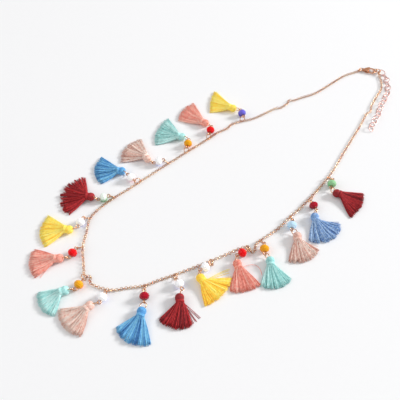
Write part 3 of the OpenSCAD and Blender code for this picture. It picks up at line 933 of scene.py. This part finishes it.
@dataclass
class Findings:
    """Everything of wire but the chain: rings, eye pins and the extender.

    A grid is the number of sections round a ring and of points round its wire. The way from a
    ring's middle to its cut is made of two shares: of the way of its wire in the eye and of its
    way out, or of X and Y at the clasp.
    """

    layout: Layout
    metal: bpy.types.Material
    pale: bpy.types.Material
    cut: float = 3.0  # how wide a ring is open, in degrees
    eye_cut: float = 26.0
    ring_grid: tuple[int, int] = (44, 12)
    clasp_grid: tuple[int, int] = (48, 14)
    eye_grid: tuple[int, int] = (32, 10)
    pin_sections: int = 9
    jump_cut: tuple[float, float] = (0.94, 0.34)
    tassel_cut: tuple[float, float] = (0.97, -0.25)
    clasp_cut: tuple[float, float] = (0.6, 0.8)
    link_len: float = 6.2
    link_w: float = 4.7
    link_wire: float = 0.6
    link_grid: tuple[int, int] = (16, 12)
    link_roll: float = 30.0  # how far a link is tipped from level
    first_roll: float = 78.0
    slack: float = 0.3  # play between two links along the extender

    def ring_set(
        self, name: str, node: str, rows: list[tuple[np.ndarray, ...]], radius: float, wire: float
    ) -> bpy.types.Object:
        """Makes one ring for each row, cut where it was opened.

        Args:
            name: The piece's name.
            node: The node that it stands for.
            rows: Each ring's middle, two directions in its plane, and the direction of its cut.
            radius: Radius of the wire's middle line.
            wire: The wire's diameter.

        Returns:
            The piece.
        """
        middle, out, way, first = (np.array(column) for column in zip(*rows))
        first = normalised(first)
        second = normalised(np.cross(np.cross(out, way), first))
        skin = Skin()
        skin.add(hoop(middle, first, second, radius, wire, *self.ring_grid, self.cut))
        return skin.piece(name, node, Plate.ROSE, self.metal)

    def jump_rings(self) -> bpy.types.Object:
        """Makes the rings that hold the drops.

        Returns:
            The piece.
        """
        lay = self.layout
        wire_share, out_share = self.jump_cut
        rows = []
        for drop in DROPS:
            near, far = lay.station(drop), lay.jump_far(drop)
            out, way = normalised(far - near), lay.jump_wire_way(drop)
            cut = wire_share * lay.swing(drop) * way + out_share * out
            rows.append(((near + far) / 2, out, way, cut))
        return self.ring_set("jump_ring_set", "jump_rings", rows, lay.span / 2, lay.jump_wire)

    def tassel_rings(self) -> bpy.types.Object:
        """Makes the rings that pass through the tassels' heads.

        Returns:
            The piece.
        """
        lay = self.layout
        wire_share, out_share = self.tassel_cut
        rows = []
        for drop in DROPS:
            out, way = unit(drop.ring), lay.ring_wire_way(drop)
            rows.append((lay.ring(drop), out, way, wire_share * way + out_share * out))
        return self.ring_set("tassel_ring_set", "tassel_rings", rows, lay.ring_r, lay.ring_wire)

    def eye_pins(self) -> bpy.types.Object:
        """Makes the pins: one wire through each bead, turned into a loop at both ends.

        Returns:
            The piece.
        """
        lay = self.layout
        skin = Skin()
        for drop in DROPS:
            way = unit(drop.pin)
            for steps, back, wire in (
                (0, way, lay.jump_wire_way(drop)),
                (2, -way, lay.ring_wire_way(drop)),
            ):
                across = normalised(wire - (wire @ back) * back)
                side = np.cross(across, back)
                sizes = lay.eye_r, lay.pin_wire, *self.eye_grid, self.eye_cut
                skin.add(hoop(lay.on_pin(drop, steps), back, side, *sizes))
            reach = (lay.to_bead - lay.eye_r) * np.linspace(-1, 1, self.pin_sections)[:, None]
            wire = (lay.on_pin(drop, 1) + reach * way)[None]
            skin.add(swept(wire, lay.pin_wire / 2, self.eye_grid[1]))
        return skin.piece("eye_pin_set", "eye_pins", Plate.ROSE, self.metal)

    def extender(self) -> bpy.types.Object:
        """Makes the extender: oval links, each through the next, tipped left and right in turn.

        The first stands almost upright in the junction ring.

        Returns:
            The piece.
        """
        lay = self.layout
        pitch = self.link_len - 2 * self.link_wire - self.slack
        mid = (self.link_w - self.link_wire) / 2
        start = lay.junction_r - lay.finding_wire / 2 - lay.gap
        pivot = lay.junction + start * unit(LINK_HEADINGS[0])
        link = oval(self.link_len, self.link_w, self.link_wire, *self.link_grid)
        skin = Skin()
        for k, heading in enumerate(LINK_HEADINGS):
            tip = self.first_roll if k == 0 else (-self.link_roll if k % 2 else self.link_roll)
            roll = math.radians(tip)
            centre = (pivot + pitch / 2 * unit(heading)) * LEVEL
            centre[2] = mid * math.sin(abs(roll)) + self.link_wire / 2 + lay.rest
            across = math.cos(roll) * left_of(heading) + math.sin(roll) * UP
            turn = np.array([unit(heading), across, np.cross(unit(heading), across)])
            skin.add(centre + link @ turn, ring=True)
            pivot = pivot + (pitch - (self.slack if k == 0 else 0.0)) * unit(heading)
        return skin.piece("extender_links", "extender", Plate.PALE, self.pale)

    def clasp_rings(self) -> list[bpy.types.Object]:
        """Makes the three rings round the clasp: one stands in the hook, two lie level.

        Returns:
            The pieces.
        """
        lay = self.layout
        x, y = self.clasp_cut
        level = np.array([x, y, 0.0]), np.array([-y, x, 0.0])
        pieces = []
        for node, middle, radius, (first, second) in (
            ("hook_ring", lay.hook_ring, lay.finding_r, (UP, -unit(lay.bar_heading))),
            ("clasp_ring", lay.clasp_ring, lay.finding_r, level),
            ("junction_ring", lay.junction, lay.junction_r, level),
        ):
            skin = Skin()
            wire = lay.finding_wire
            skin.add(hoop(middle, first, second, radius, wire, *self.clasp_grid, self.cut))
            pieces.append(skin.piece(f"{node}_wire", node, Plate.ROSE, self.metal))
        return pieces


@dataclass
class CableChain:
    """The fine chain: oval links, each a quarter turn from the next, and a loop at each end."""

    layout: Layout
    metal: bpy.types.Material
    length: float = 2.4
    width: float = 2.2
    wire: float = 0.38
    grid: tuple[int, int] = (6, 5)  # sections in half a link's round, points round its wire
    loop_grid: tuple[int, int] = (32, 10)
    free_roll: float = 30.0
    settle: float = 3.0  # links from a drop over which the roll grows
    seed: int = 5
    tone: float = 0.55
    tone_spread: float = 0.3
    flat_light: float = 0.25  # painted light: how much lighter a link that lies flat, facing up, is than a middling one

    def centres(self, line: np.ndarray, marks: np.ndarray) -> tuple[np.ndarray, np.ndarray]:
        """Spreads the links so that one lies at every drop.

        Each stretch between two drops takes the smallest even number of links that spans it.

        Args:
            line: Distance along the curve at each of its points.
            marks: Places on the curve where a link has to lie.

        Returns:
            The distance of each link along the curve, and how many links away its drop is.
        """
        pitch = self.length - 2 * self.wire
        places, away = [], []
        for a, b in zip(line[marks[:-1]], line[marks[1:]]):
            count = 2 * math.ceil((b - a) / pitch / 2)
            steps = np.arange(count)
            places.append(a + (b - a) * steps / count)
            away.append(np.minimum(steps, count - steps))
        return np.concatenate(places + [line[marks[-1:]]]), np.concatenate(away + [[0]])

    def build(self) -> bpy.types.Object:
        """Makes the chain.

        A link's own roll is a quarter turn for every second link, plus a turn that grows
        smoothly from none at a drop, where the link lies flat round the jump ring. A link lies
        no lower than half its own height above the surface. Its tone is a chance one, plus
        painted light that makes it lighter the flatter it lies.

        Returns:
            The piece.
        """
        lay = self.layout
        curve, knots = lay.curve()
        line = np.concatenate([[0], np.cumsum(np.linalg.norm(np.diff(curve, axis=0), axis=1))])
        marks = np.array([0] + [knots[d.at + 1] for d in DROPS] + [len(curve) - 1])
        places, away = self.centres(line, marks)
        centre = np.stack([np.interp(places, line, curve[:, i]) for i in range(3)], -1)
        ahead, side, rise = ways(centre)
        grown = 1 - np.exp(-((away / self.settle) ** 2))
        turn = np.radians(90.0 * (np.arange(len(places)) % 2) + self.free_roll * grown)
        across = np.cos(turn)[:, None] * side + np.sin(turn)[:, None] * rise
        stand = (self.width - self.wire) / 2 * np.abs(np.sin(turn)) + self.wire / 2
        centre[:, 2] = np.maximum(centre[:, 2], stand + 2 * lay.rest)
        turns = np.stack([ahead, across, np.cross(ahead, across)], 1)
        link = oval(self.length, self.width, self.wire, *self.grid)
        chance = np.random.default_rng(self.seed)
        tone = chance.normal(self.tone, self.tone_spread, len(places))
        # Painted light: links that lie flat are lighter
        tone = np.clip(tone + self.flat_light * np.cos(2 * turn), 0, 1)[:, None, None]
        skin = Skin()
        links = centre[:, None, None, :] + np.einsum("spi,lij->lspj", link, turns)
        skin.add(links, ring=True, tone=tone)
        for middle, heading in lay.end_loops():
            loop = hoop(middle, UP, -unit(heading), lay.end_r, lay.end_wire, *self.loop_grid)
            skin.add(loop, ring=True)
        log.info("cable chain: %d links over %.0f mm", len(places), line[-1])
        return skin.piece("cable_chain", "chain", Plate.ROSE, self.metal)


# Beads and tassels

@dataclass
class Bead:
    """A drilled rondelle with a table at each end and a belt of facets."""

    layout: Layout
    table_d: float = 3.4
    hole_d: float = 1.0
    mouth: float = 0.22  # the hole widens by this at its mouth
    mouth_len: float = 0.25
    crown: float = 0.8  # of the way from table to girdle, halfway along
    facets: int = 12

    def build(self, number: int, drop: Drop, finish: bpy.types.Material) -> bpy.types.Object:
        """Makes one bead.

        Its skin runs from the hole out over one table, down the facets to the widest belt, up
        to the other table and back through the hole. Every second belt is half a facet turned.

        Args:
            number: The drop's number, from 1.
            drop: The drop.
            finish: Its glass.

        Returns:
            The piece.
        """
        lay = self.layout
        hole, table, girdle = self.hole_d / 2, self.table_d / 2, lay.bead_d / 2
        crown, mouth = table + self.crown * (girdle - table), hole + self.mouth
        half = lay.bead_len / 2
        ends = half - self.mouth_len
        x = np.array([-ends, -half, -half, -half / 2, 0, half / 2, half, half, ends])
        r = np.array([hole, mouth, table, crown, girdle, crown, table, mouth, hole])
        turn = np.array([0, 0, 0, 0.5, 0, 0.5, 0, 0, 0])
        a = (np.arange(self.facets) + turn[:, None]) * 2 * np.pi / self.facets
        skin = Skin()
        skin.add(lay.on_pin(drop, 1) + turned(x[:, None], r[:, None], a) @ axes(drop.pin), ring=True)
        name, node = f"rondelle_{number:02d}", f"bead_{number:02d}"
        return skin.piece(name, node, drop.glass, finish, smooth=False)


@dataclass(frozen=True)
class TasselSizes:
    """Sizes of a standard tassel."""

    head_d: float = 5.8
    head_len: float = 4.6
    band_d: float = 5.4
    band_len: float = 1.5
    neck_d: float = 4.8
    fringe_len: float = 17.0
    fringe_t: float = 2.6
    thread: float = 0.32
    hair: float = 0.3
    rest: float = 0.02


@dataclass
class Head:
    """The domed head of a tassel and the band wound under it."""

    sizes: TasselSizes
    top_angle: float = 4.0
    neck_angle: float = 133.0
    fullness: float = 0.8
    ridges: int = 30
    ridge: float = 0.07
    ridge_room: float = 0.06
    # painted light on the ridges' crests and painted shade between them
    ridge_light_and_shade: float = 0.22
    twist: float = 2.5
    twist_rate: float = 1.3
    lump: float = 0.03
    lumps: int = 3
    lump_turn: float = 1.7
    tone: float = 0.46
    neck_shade: float = 0.12  # painted shade: how much darker the dome is towards the neck, where it turns in
    windings: int = 5
    groove: float = 0.16
    roundness: float = 0.6  # power that makes a turn of thread fuller
    squareness: int = 8  # power that keeps the band thick up to its ends
    sunk: float = 0.25  # how deep the band's ends dip under the neck
    overlap: float = 0.1
    # painted shade in the grooves between turns, and painted light on their crests
    groove_shade_tone: float = 0.35
    winding_light_tone: float = 0.4
    dome_grid: tuple[int, int] = (22, 120)
    band_grid: tuple[int, int] = (8, 56)  # sections in a winding, points round the band

    def dome(self) -> tuple[np.ndarray, np.ndarray]:
        """Works out the domed head: yarn that runs from its top to the band.

        At an angle t from the top, the way along grows with 1 - cos t until it is the head's
        length at the neck's angle, and the radius with sin t to the power of fullness. The
        strands stand up as even ridges round it, over a slight lump. Its tone is painted light on
        the ridges and painted shade between them and towards the neck.

        Returns:
            The grid [section, point, xyz] and the tone of each point.
        """
        size = self.sizes
        sections, points = self.dome_grid
        t = np.radians(np.linspace(self.top_angle, self.neck_angle, sections))[:, None]
        a = circle(points)
        x = size.head_len * (1 - np.cos(t)) / (1 - math.cos(math.radians(self.neck_angle)))
        ridge = np.cos(self.ridges * a + self.twist * np.sin(self.twist_rate * t))
        lump = self.lump * np.sin(self.lumps * a + self.lump_turn) * np.sin(2 * t)
        radius = (size.head_d / 2 - self.ridge_room) * np.sin(t) ** self.fullness * (1 + lump)
        # Painted light and shade: lighter on the ridges, darker between them and towards the neck
        tone = self.tone + self.ridge_light_and_shade * ridge - self.neck_shade * (x / size.head_len) ** 2
        return turned(x, radius + self.ridge * ridge * np.sin(t), a), tone

    def band(self) -> tuple[np.ndarray, np.ndarray]:
        """Works out the band: turns of thread side by side, slightly inclined.

        A turn stands up as a half sine to the power of roundness, with a groove between it and
        the next. The band's ends dip under the neck. Its tone is painted shade in the grooves and
        painted light on the turns.

        Returns:
            The grid [section, point, xyz] and the tone of each point.
        """
        size = self.sizes
        sections, points = self.band_grid
        s = np.linspace(0, 1, self.windings * sections + 1)[:, None]
        a = circle(points)
        turn = np.abs(np.sin(np.pi * (s * self.windings + a / (2 * np.pi)))) ** self.roundness
        ends = np.sqrt(np.clip(1 - (2 * s - 1) ** self.squareness, 0, 1))
        low = size.neck_d / 2 - self.sunk
        r = low + ends * (size.band_d / 2 - low - self.groove * (1 - turn))
        x = size.head_len - self.overlap + s * (size.band_len + 2 * self.overlap)
        # Painted shade in the grooves, painted light on the turns
        return turned(x, r, a), self.groove_shade_tone + self.winding_light_tone * turn


@dataclass(frozen=True)
class Stray:
    """One hair that has come loose: the point that it is drawn towards, and where it ends.

    Both are millimetres ahead of the top of the tassel's head and to its left.
    """

    via: tuple[float, float]
    to: tuple[float, float]


@dataclass
class Fringe:
    """The threads of a tassel, which gather into locks.

    A thread's place u runs across the fan, from its right edge (-1) to its left edge (1).
    """

    sizes: TasselSizes
    threads: int = 520
    locks: int = 26
    strands: int = 60
    sections: int = 8
    lock_shift: float = 0.4  # a lock's place strays by this share of its width
    lock_w: float = 1.15  # width of a lock, in shares of its part of the fan
    lock_reach: float = 0.02  # how much locks differ in length
    reach: float = 0.03  # how much threads differ in length
    reach_most: float = 0.05
    reach_least: float = 0.1
    gather: float = 0.3  # share by which threads close up on their lock, at most gather_most
    gather_most: float = 0.75
    leave_at: float = 0.6  # share of the band at which a thread's line starts
    leave_turn: float = 0.95  # share of its own angle at which it leaves the neck
    leave_reach: float = 0.4  # share of its length for which it is drawn that way
    past_neck: float = 0.6
    bow: float = 0.35
    curl: float = 0.3
    flutter: float = 0.12
    fall: float = 1.9  # power of the fall to the surface
    edge_t: float = 0.45  # share of the fringe's thickness at its edges
    crown_t: float = 0.4  # and how much more in its middle
    hair_sections: int = 20
    hair_out: float = 2.4  # hairs start the neck's diameter over this to either side
    hair_lift: float = 1.5  # rests between a hair's end and the surface
    strand_tone: float = 0.22
    lock_tone: float = 0.16
    thread_tone: float = 0.16
    # painted shade: the tone of the lowest threads, and how much lighter the top layer is
    shaded_bottom_tone: float = 0.26
    layer_light_span: float = 0.46

    def edge(self, u: np.ndarray, left: float, middle: float, right: float) -> np.ndarray:
        """Blends a value across the fringe, from its right edge (-1) to its left edge (1)."""
        return middle + u * (left - right) / 2 + u**2 * ((left + right) / 2 - middle)

    def deal(self, chance: np.random.Generator, jag: float) -> tuple[np.ndarray, ...]:
        """Deals the threads out to locks and strands.

        A lock sits near the middle of its share of the fan, and its threads spread over a
        little more than that share.

        Args:
            chance: Where the random numbers come from.
            jag: How ragged the fringe's end is: 1 for a tidy one.

        Returns:
            Each thread's place, its lock's place, how far its lock reaches, and its strand's tone.
        """
        n, locks, strands = self.threads, self.locks, self.strands
        lock = chance.integers(0, locks, n)
        home = (lock + 0.5) / locks * 2 - 1
        home = home + chance.normal(0, self.lock_shift / locks, locks)[lock]
        u = np.clip(home + chance.uniform(-1, 1, n) * self.lock_w / locks, -1, 1)
        reach = chance.normal(0, self.lock_reach * jag, locks)[lock]
        strand = np.clip(((u + 1) * strands / 2).astype(int), 0, strands - 1)
        tone = chance.normal(0, self.strand_tone, strands)[strand]
        return u, home, reach, tone + chance.normal(0, self.lock_tone, locks)[lock]

    def paths(self, drop: Drop, seed: int, jag: float) -> tuple[np.ndarray, np.ndarray]:
        """Works out the middle line of every thread.

        In plan a thread is a quadratic curve that leaves the neck at a share of its own angle
        and ends on that angle, bowed and curled to one side. Its height falls from the neck to
        its own place in the layers that rest on the surface, as a power of what is left of its
        way. Threads gather into locks towards their ends.

        Args:
            drop: The drop.
            seed: Seed of the fringe's own chance.
            jag: How ragged its end is: 1 for a tidy one.

        Returns:
            The paths [thread, section, xyz] and the tone of each thread, with painted shade on the
            lower layers.
        """
        size, n = self.sizes, self.threads
        chance = np.random.default_rng(seed)
        u, home, lock_reach, strand = self.deal(chance, jag)
        layer = chance.uniform(0, 1, n)
        reach = lock_reach + chance.normal(0, self.reach, n)
        reach = np.clip(reach, -self.reach_least - 2 * self.lock_reach * jag, self.reach_most)
        length = size.fringe_len * self.edge(u, drop.l_left, drop.l_mid, drop.l_right) * (1 + reach)
        gathered = u + min(self.gather * jag, self.gather_most) * (np.clip(home, -1, 1) - u)
        angle = np.radians(self.edge(gathered, drop.left, (drop.left + drop.right) / 2, drop.right))
        leave = self.leave_turn * angle
        out = np.stack([np.cos(angle), np.sin(angle)], -1)
        first = np.stack([np.cos(leave), np.sin(leave)], -1)
        round_u = np.sqrt(np.clip(1 - u**2, 0, 1))
        inset = (size.neck_d - size.thread) / 2
        neck = np.array([size.head_len + self.leave_at * size.band_len, 0.0])
        start = neck + np.stack([0 * u, inset * u], -1)
        via = start + (self.leave_reach * length)[:, None] * first
        end = neck + (length + self.past_neck)[:, None] * out
        s = np.linspace(0, 1, self.sections)
        plan = bent(s[:, None], start[:, None], via[:, None], end[:, None])
        bow = self.bow * chance.normal(0, 1, n)[:, None] * np.sin(np.pi * s) * s
        curl = self.curl * chance.normal(0, 1, n)[:, None] * s**4
        aside = np.stack([-np.sin(angle), np.cos(angle)], -1)
        plan = plan + (bow + curl)[..., None] * aside[:, None]
        top = size.head_d / 2 + inset * round_u * (2 * layer - 1)
        floor = size.thread / 2 + size.rest
        depth = size.fringe_t * (self.edge_t + self.crown_t * round_u)
        low = floor + layer * (depth - size.thread)
        z = low[:, None] + (top - low)[:, None] * (1 - s) ** self.fall
        z = np.maximum(z + self.flutter * chance.normal(0, 1, n)[:, None] * s, floor)
        # Painted shade: threads lower in the fringe are darker
        tone = self.shaded_bottom_tone + self.layer_light_span * layer + chance.normal(0, self.thread_tone, n)
        return np.concatenate([plan, z[..., None]], -1), tone + strand

    def hairs(self, strays: Sequence[Stray]) -> np.ndarray:
        """Works out the middle lines of loose hairs.

        In plan a hair is a quadratic curve from the band, drawn towards one point and ending
        at another. It comes down to the surface with the cube of what is left of its way.

        Args:
            strays: The hairs.

        Returns:
            The paths [hair, section, xyz].
        """
        size = self.sizes
        s = np.linspace(0, 1, self.hair_sections)[None, :, None]
        via = np.array([hair.via for hair in strays])[:, None]
        to = np.array([hair.to for hair in strays])[:, None]
        side = np.sign(to[..., 1:]) * size.neck_d / self.hair_out
        start = np.concatenate([0 * side + size.head_len + size.band_len, side], -1)
        low = size.thread / 2 + self.hair_lift * size.rest
        height = low + (size.head_d / 2 - low) * (1 - s) ** 3
        plan = bent(s, start, via, to)
        return np.concatenate([plan, np.broadcast_to(height, plan[..., :1].shape)], -1)


@dataclass
class Tassel:
    """A cotton tassel: a domed head, a wound band and a fringe of threads."""

    layout: Layout
    sizes: TasselSizes = TasselSizes()
    strays: dict[int, tuple[Stray, ...]] = field(default_factory=dict)
    ragged: dict[int, float] = field(default_factory=dict)
    # painted shade: how much darker each whole tassel is, by the drop's number
    painted_shades: dict[int, float] = field(default_factory=dict)
    sides: int = 4
    tip: float = 0.6  # share of a thread's width at its end
    hair_tone: float = 0.45

    def build(self, number: int, drop: Drop, finish: bpy.types.Material) -> bpy.types.Object:
        """Makes one tassel.

        Args:
            number: The drop's number, from 1.
            drop: The drop.
            finish: Its cotton.

        Returns:
            The piece.
        """
        size = self.sizes
        turn = axes(drop.head)
        foot = self.layout.head(drop)
        axis = foot + size.head_d / 2 * UP
        # Painted shade: the whole tassel darker where less light falls on it
        shade = self.painted_shades.get(number, 0.0)
        head, fringe = Head(size), Fringe(size)
        skin = Skin()
        dome, tone = head.dome()
        skin.add(axis + dome @ turn, tone=np.clip(tone + shade, 0, 1), along=dome[..., 0])
        band, tone = head.band()
        skin.add(axis + band @ turn, tone=np.clip(tone + shade, 0, 1))
        paths, tone = fringe.paths(drop, number, self.ragged.get(number, 1.0))
        tone = np.clip(tone + shade, 0, 1)[:, None, None]
        line = np.linspace(0, size.fringe_len, paths.shape[1])[:, None]
        radius = np.full(paths.shape[:2], size.thread / 2)
        radius[:, -1] *= self.tip
        skin.add(swept(foot + paths @ turn, radius, self.sides), tone=tone, along=line)
        loose = self.strays.get(number, ())
        if loose:
            hairs = foot + fringe.hairs(loose) @ turn
            skin.add(swept(hairs, size.hair / 2, self.sides), tone=self.hair_tone)
        name, node = f"cotton_tassel_{number:02d}", f"tassel_{number:02d}"
        return skin.piece(name, node, drop.yarn, finish)


# The clasp

@dataclass
class Clasp:
    """The trigger clasp's body and its lever, which keep their solids."""

    metal: bpy.types.Material

    def build(self) -> None:
        """Gives both solids the plated metal."""
        for name in ("clasp_body", "clasp_lever"):
            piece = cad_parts[name]
            piece.data.materials.clear()
            piece.data.materials.append(self.metal)


# The studio

@dataclass(frozen=True)
class Lamp:
    """A soft square light that faces the necklace.

    It stands out by a distance on its heading and up by another, in millimetres, as side is.
    The power is in watts.
    """

    name: str
    heading: float
    out: float
    up: float
    side: float
    power: float

    def build(self) -> None:
        """Puts the light up."""
        data = bpy.data.lights.new(self.name, "AREA")
        data.shape = "SQUARE"
        data.size = self.side * MM
        data.energy = self.power
        lamp = linked(self.name, data)
        lamp.location = Vector(unit(self.heading) * self.out * MM) + Vector((0, 0, self.up * MM))
        lamp.rotation_euler = (-lamp.location).to_track_quat("-Z", "Y").to_euler()


@dataclass
class Studio:
    """Floor, light and camera."""

    focus: tuple[float, float, float] = (-39.34, 2.99, 0.0)
    eye: tuple[float, float, float] = (-162.94, -155.21, 286.8)
    lens: float = 44.49
    sensor: float = 36.0
    nearest: float = 5.0
    floor_side: float = 2600.0
    walls: tuple[tuple[float, float], ...] = ((0.0, 0.45), (0.75, 1.0))  # height and grey
    room_light: float = 0.6
    lamps: tuple[Lamp, ...] = (
        Lamp("key", -22, 3600, 1800, 880, 146.0),
        Lamp("fill", 150, 3600, 2690, 2880, 37.0),
    )

    def floor(self) -> None:
        """Makes the pale surface as one level square at z = 0."""
        h = self.floor_side / 2 * MM
        data = bpy.data.meshes.new("pale_floor")
        data.from_pydata([(-h, -h, 0), (h, -h, 0), (h, h, 0), (-h, h, 0)], [], [(0, 1, 2, 3)])
        data.materials.append(PaleSurface().material())
        linked("pale_floor", data)

    def room(self) -> None:
        """Makes the room's own light: a bright ceiling over walls that darken downwards."""
        g = Graph(bpy.data.worlds.new("room"))
        height = g.height(g.place("Generated"))
        stops = [(at, (grey, grey, grey, 1.0)) for at, grey in self.walls]
        light = g.add("ShaderNodeValToRGB", {"stops": stops}, {0: height})
        sockets = {"Color": light, "Strength": self.room_light}
        world = g.finish(sockets, "ShaderNodeBackground", "ShaderNodeOutputWorld")
        bpy.context.scene.world = world

    def camera(self) -> None:
        """Puts the camera where the photograph was taken from."""
        data = bpy.data.cameras.new("camera")
        data.lens = self.lens
        data.sensor_width = self.sensor
        data.clip_start = self.nearest * MM
        camera = linked("camera", data)
        camera.location = Vector(self.eye) * MM
        way = (Vector(self.focus) - Vector(self.eye)).normalized()
        camera.rotation_euler = way.to_track_quat("-Z", "Y").to_euler()
        bpy.context.scene.camera = camera

    def build(self) -> None:
        """Sets up the floor, the room's own light, the lamps and the camera."""
        self.floor()
        self.room()
        bpy.context.scene.view_settings.view_transform = "Standard"
        for lamp in self.lamps:
            lamp.build()
        self.camera()


# The finishes

METAL = PlatedMetal("rose_gold_plate", (255, 222, 180), (190, 98, 54))
CLASP_METAL = PlatedMetal("clasp_plate", (255, 208, 168), (212, 126, 88), even=0.5)
PALE_METAL = PlatedMetal("pale_rose_plate", (250, 208, 198), (212, 150, 140), 0.24)
# The number after a cotton's colours, where given, is the painted light that it gives off, and the
# next its crimp
COTTONS = {
    Yarn.YELLOW: Cotton(
        "yellow_cotton", (255, 244, 144), (255, 230, 86), (255, 192, 42), 0.12, 1.2),
    Yarn.CORAL: Cotton(
        "coral_cotton", (255, 206, 190), (252, 166, 149), (224, 116, 99), 0.06, 2.0),
    Yarn.MINT: Cotton("mint_cotton", (222, 255, 252), (184, 244, 240), (134, 204, 202)),
    Yarn.BEIGE: Cotton(
        "beige_cotton", (255, 240, 230), (252, 211, 195), (218, 156, 140), crimp=1.9),
    Yarn.BLUE: Cotton("blue_cotton", (150, 218, 250), (94, 172, 232), (56, 118, 192), crimp=1.3),
    Yarn.DARK_RED: Cotton("dark_red_cotton", (214, 54, 58), (168, 30, 39), (108, 14, 25)),
}
# Each glass: its top's painted highlight, its rim's tint, then low, high, clear and, where given, the
# painted light that it gives off
GLASSES = {
    Glass.VIOLET: CutGlass("violet_glass", (120, 112, 232), (66, 58, 180), 1.5, 5.5, 0.06),
    Glass.RED: CutGlass("red_glass", (246, 0, 12), (196, 0, 10), 1.0, 5.0, 0.02),
    Glass.ORANGE: CutGlass("orange_glass", (255, 178, 26), (252, 134, 8), 1.0, 5.0, 0.05),
    Glass.WHITE: CutGlass("white_glass", (255, 255, 255), (190, 198, 244), 1.0, 3.6, 0.04, 0.12),
    Glass.LIGHT_BLUE: CutGlass(
        "light_blue_glass", (200, 234, 255), (144, 202, 244), 1.0, 5.0, 0.06, 0.08),
    Glass.RUBY: CutGlass("ruby_glass", (184, 8, 40), (120, 2, 24), 1.5, 5.5, 0.06),
    Glass.GREEN: CutGlass("green_glass", (166, 226, 168), (92, 172, 104), 1.5, 5.5, 0.06),
}
# By the drop's number: cotton and glass that differ from the others of their colour. The cotton is
# painted light: a lighter, greyer blue for the different light on drop 17
LIGHT_SHIFTED_COTTON = {
    17: Cotton("grey_blue_cotton", (194, 222, 252), (126, 170, 224), (74, 118, 186), crimp=2.2),
}
# Painted reflection: glass whose top is near white over the rim's colour
HIGHLIT_GLASS = {
    5: CutGlass("rosy_white_glass", (255, 255, 255), (238, 176, 188), 0.4, 3.4, 0.04, 0.12),
    6: CutGlass("pale_green_glass", (240, 250, 240), (84, 160, 92), 2.4, 5.2, 0.04, 0.06),
}
# By the drop's number: loose hairs, raggedness where it isn't 1, and painted shade that darkens the
# whole tassel where less light falls on it
STRAYS = {
    2: (Stray((13, -7), (24.2, -16.4)), Stray((14, -6), (23.4, -15.2))),
    8: (Stray((11, 5), (16.9, 11.0)), Stray((11, 6), (14.4, 12.2))),
    10: (Stray((11, 5), (15.8, 10.4)), Stray((12, 5), (17.6, 10.0))),
    12: (
        Stray((9.5, 6.0), (16.4, 11.2)),
        Stray((10, 5.4), (16.9, 10.4)),
        Stray((11, 5.0), (18.4, 8.6)),
        Stray((11, 4.4), (18.0, 7.9)),
        Stray((12, 4.0), (19.2, 6.7)),
        Stray((12, 3.6), (19.5, 6.0)),
    ),
    13: (
        Stray((5.5, 12.5), (8.3, 19.6)),
        Stray((6.5, 11.5), (8.9, 18.6)),
        Stray((7.5, 10.5), (10.2, 17.6)),
    ),
    14: (Stray((2, 15.5), (13.6, 13.2)), Stray((9, -4), (16.6, -10.6))),
    16: (Stray((7.5, 7), (9.6, 13.2)),),
    17: (Stray((6.5, 8.5), (7.6, 16.2)), Stray((7, 8), (9.2, 16.4))),
}
RAGGED = {2: 2.0, 5: 1.5, 6: 3.0, 8: 1.4, 10: 1.3, 12: 1.8, 14: 1.4, 16: 2.2, 17: 2.2, 18: 1.6}
# Painted shade: how much darker a whole tassel is
PAINTED_SHADES = {11: -0.08, 12: -0.12, 13: -0.26, 14: -0.24, 15: -0.2, 16: -0.2, 18: -0.15}


def main() -> None:
    """Builds the necklace, the surface and the light, and notes the sizes."""
    logging.basicConfig(level=logging.INFO, format="%(name)s: %(message)s")
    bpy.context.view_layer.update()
    layout = Layout()
    metal = METAL.material()
    findings = Findings(layout, metal, PALE_METAL.material())
    pieces = [findings.jump_rings(), findings.tassel_rings(), findings.eye_pins(), findings.extender()]
    pieces += findings.clasp_rings()
    pieces.append(CableChain(layout, metal).build())
    Clasp(CLASP_METAL.material()).build()
    cottons, light_shifted_cotton, glasses, highlit_glass = (
        {key: finish.material() for key, finish in finishes.items()}
        for finishes in (COTTONS, LIGHT_SHIFTED_COTTON, GLASSES, HIGHLIT_GLASS)
    )
    bead, tassel = Bead(layout), Tassel(layout, strays=STRAYS, ragged=RAGGED, painted_shades=PAINTED_SHADES)
    for number, drop in enumerate(DROPS, 1):
        pieces.append(bead.build(number, drop, highlit_glass.get(number, glasses[drop.glass])))
        pieces.append(tassel.build(number, drop, light_shifted_cotton.get(number, cottons[drop.yarn])))
    for piece in pieces:
        log.info("%s: %d faces", piece.name, len(piece.data.polygons))
    Studio().build()
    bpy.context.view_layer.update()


if __name__ == "__main__":
    main()
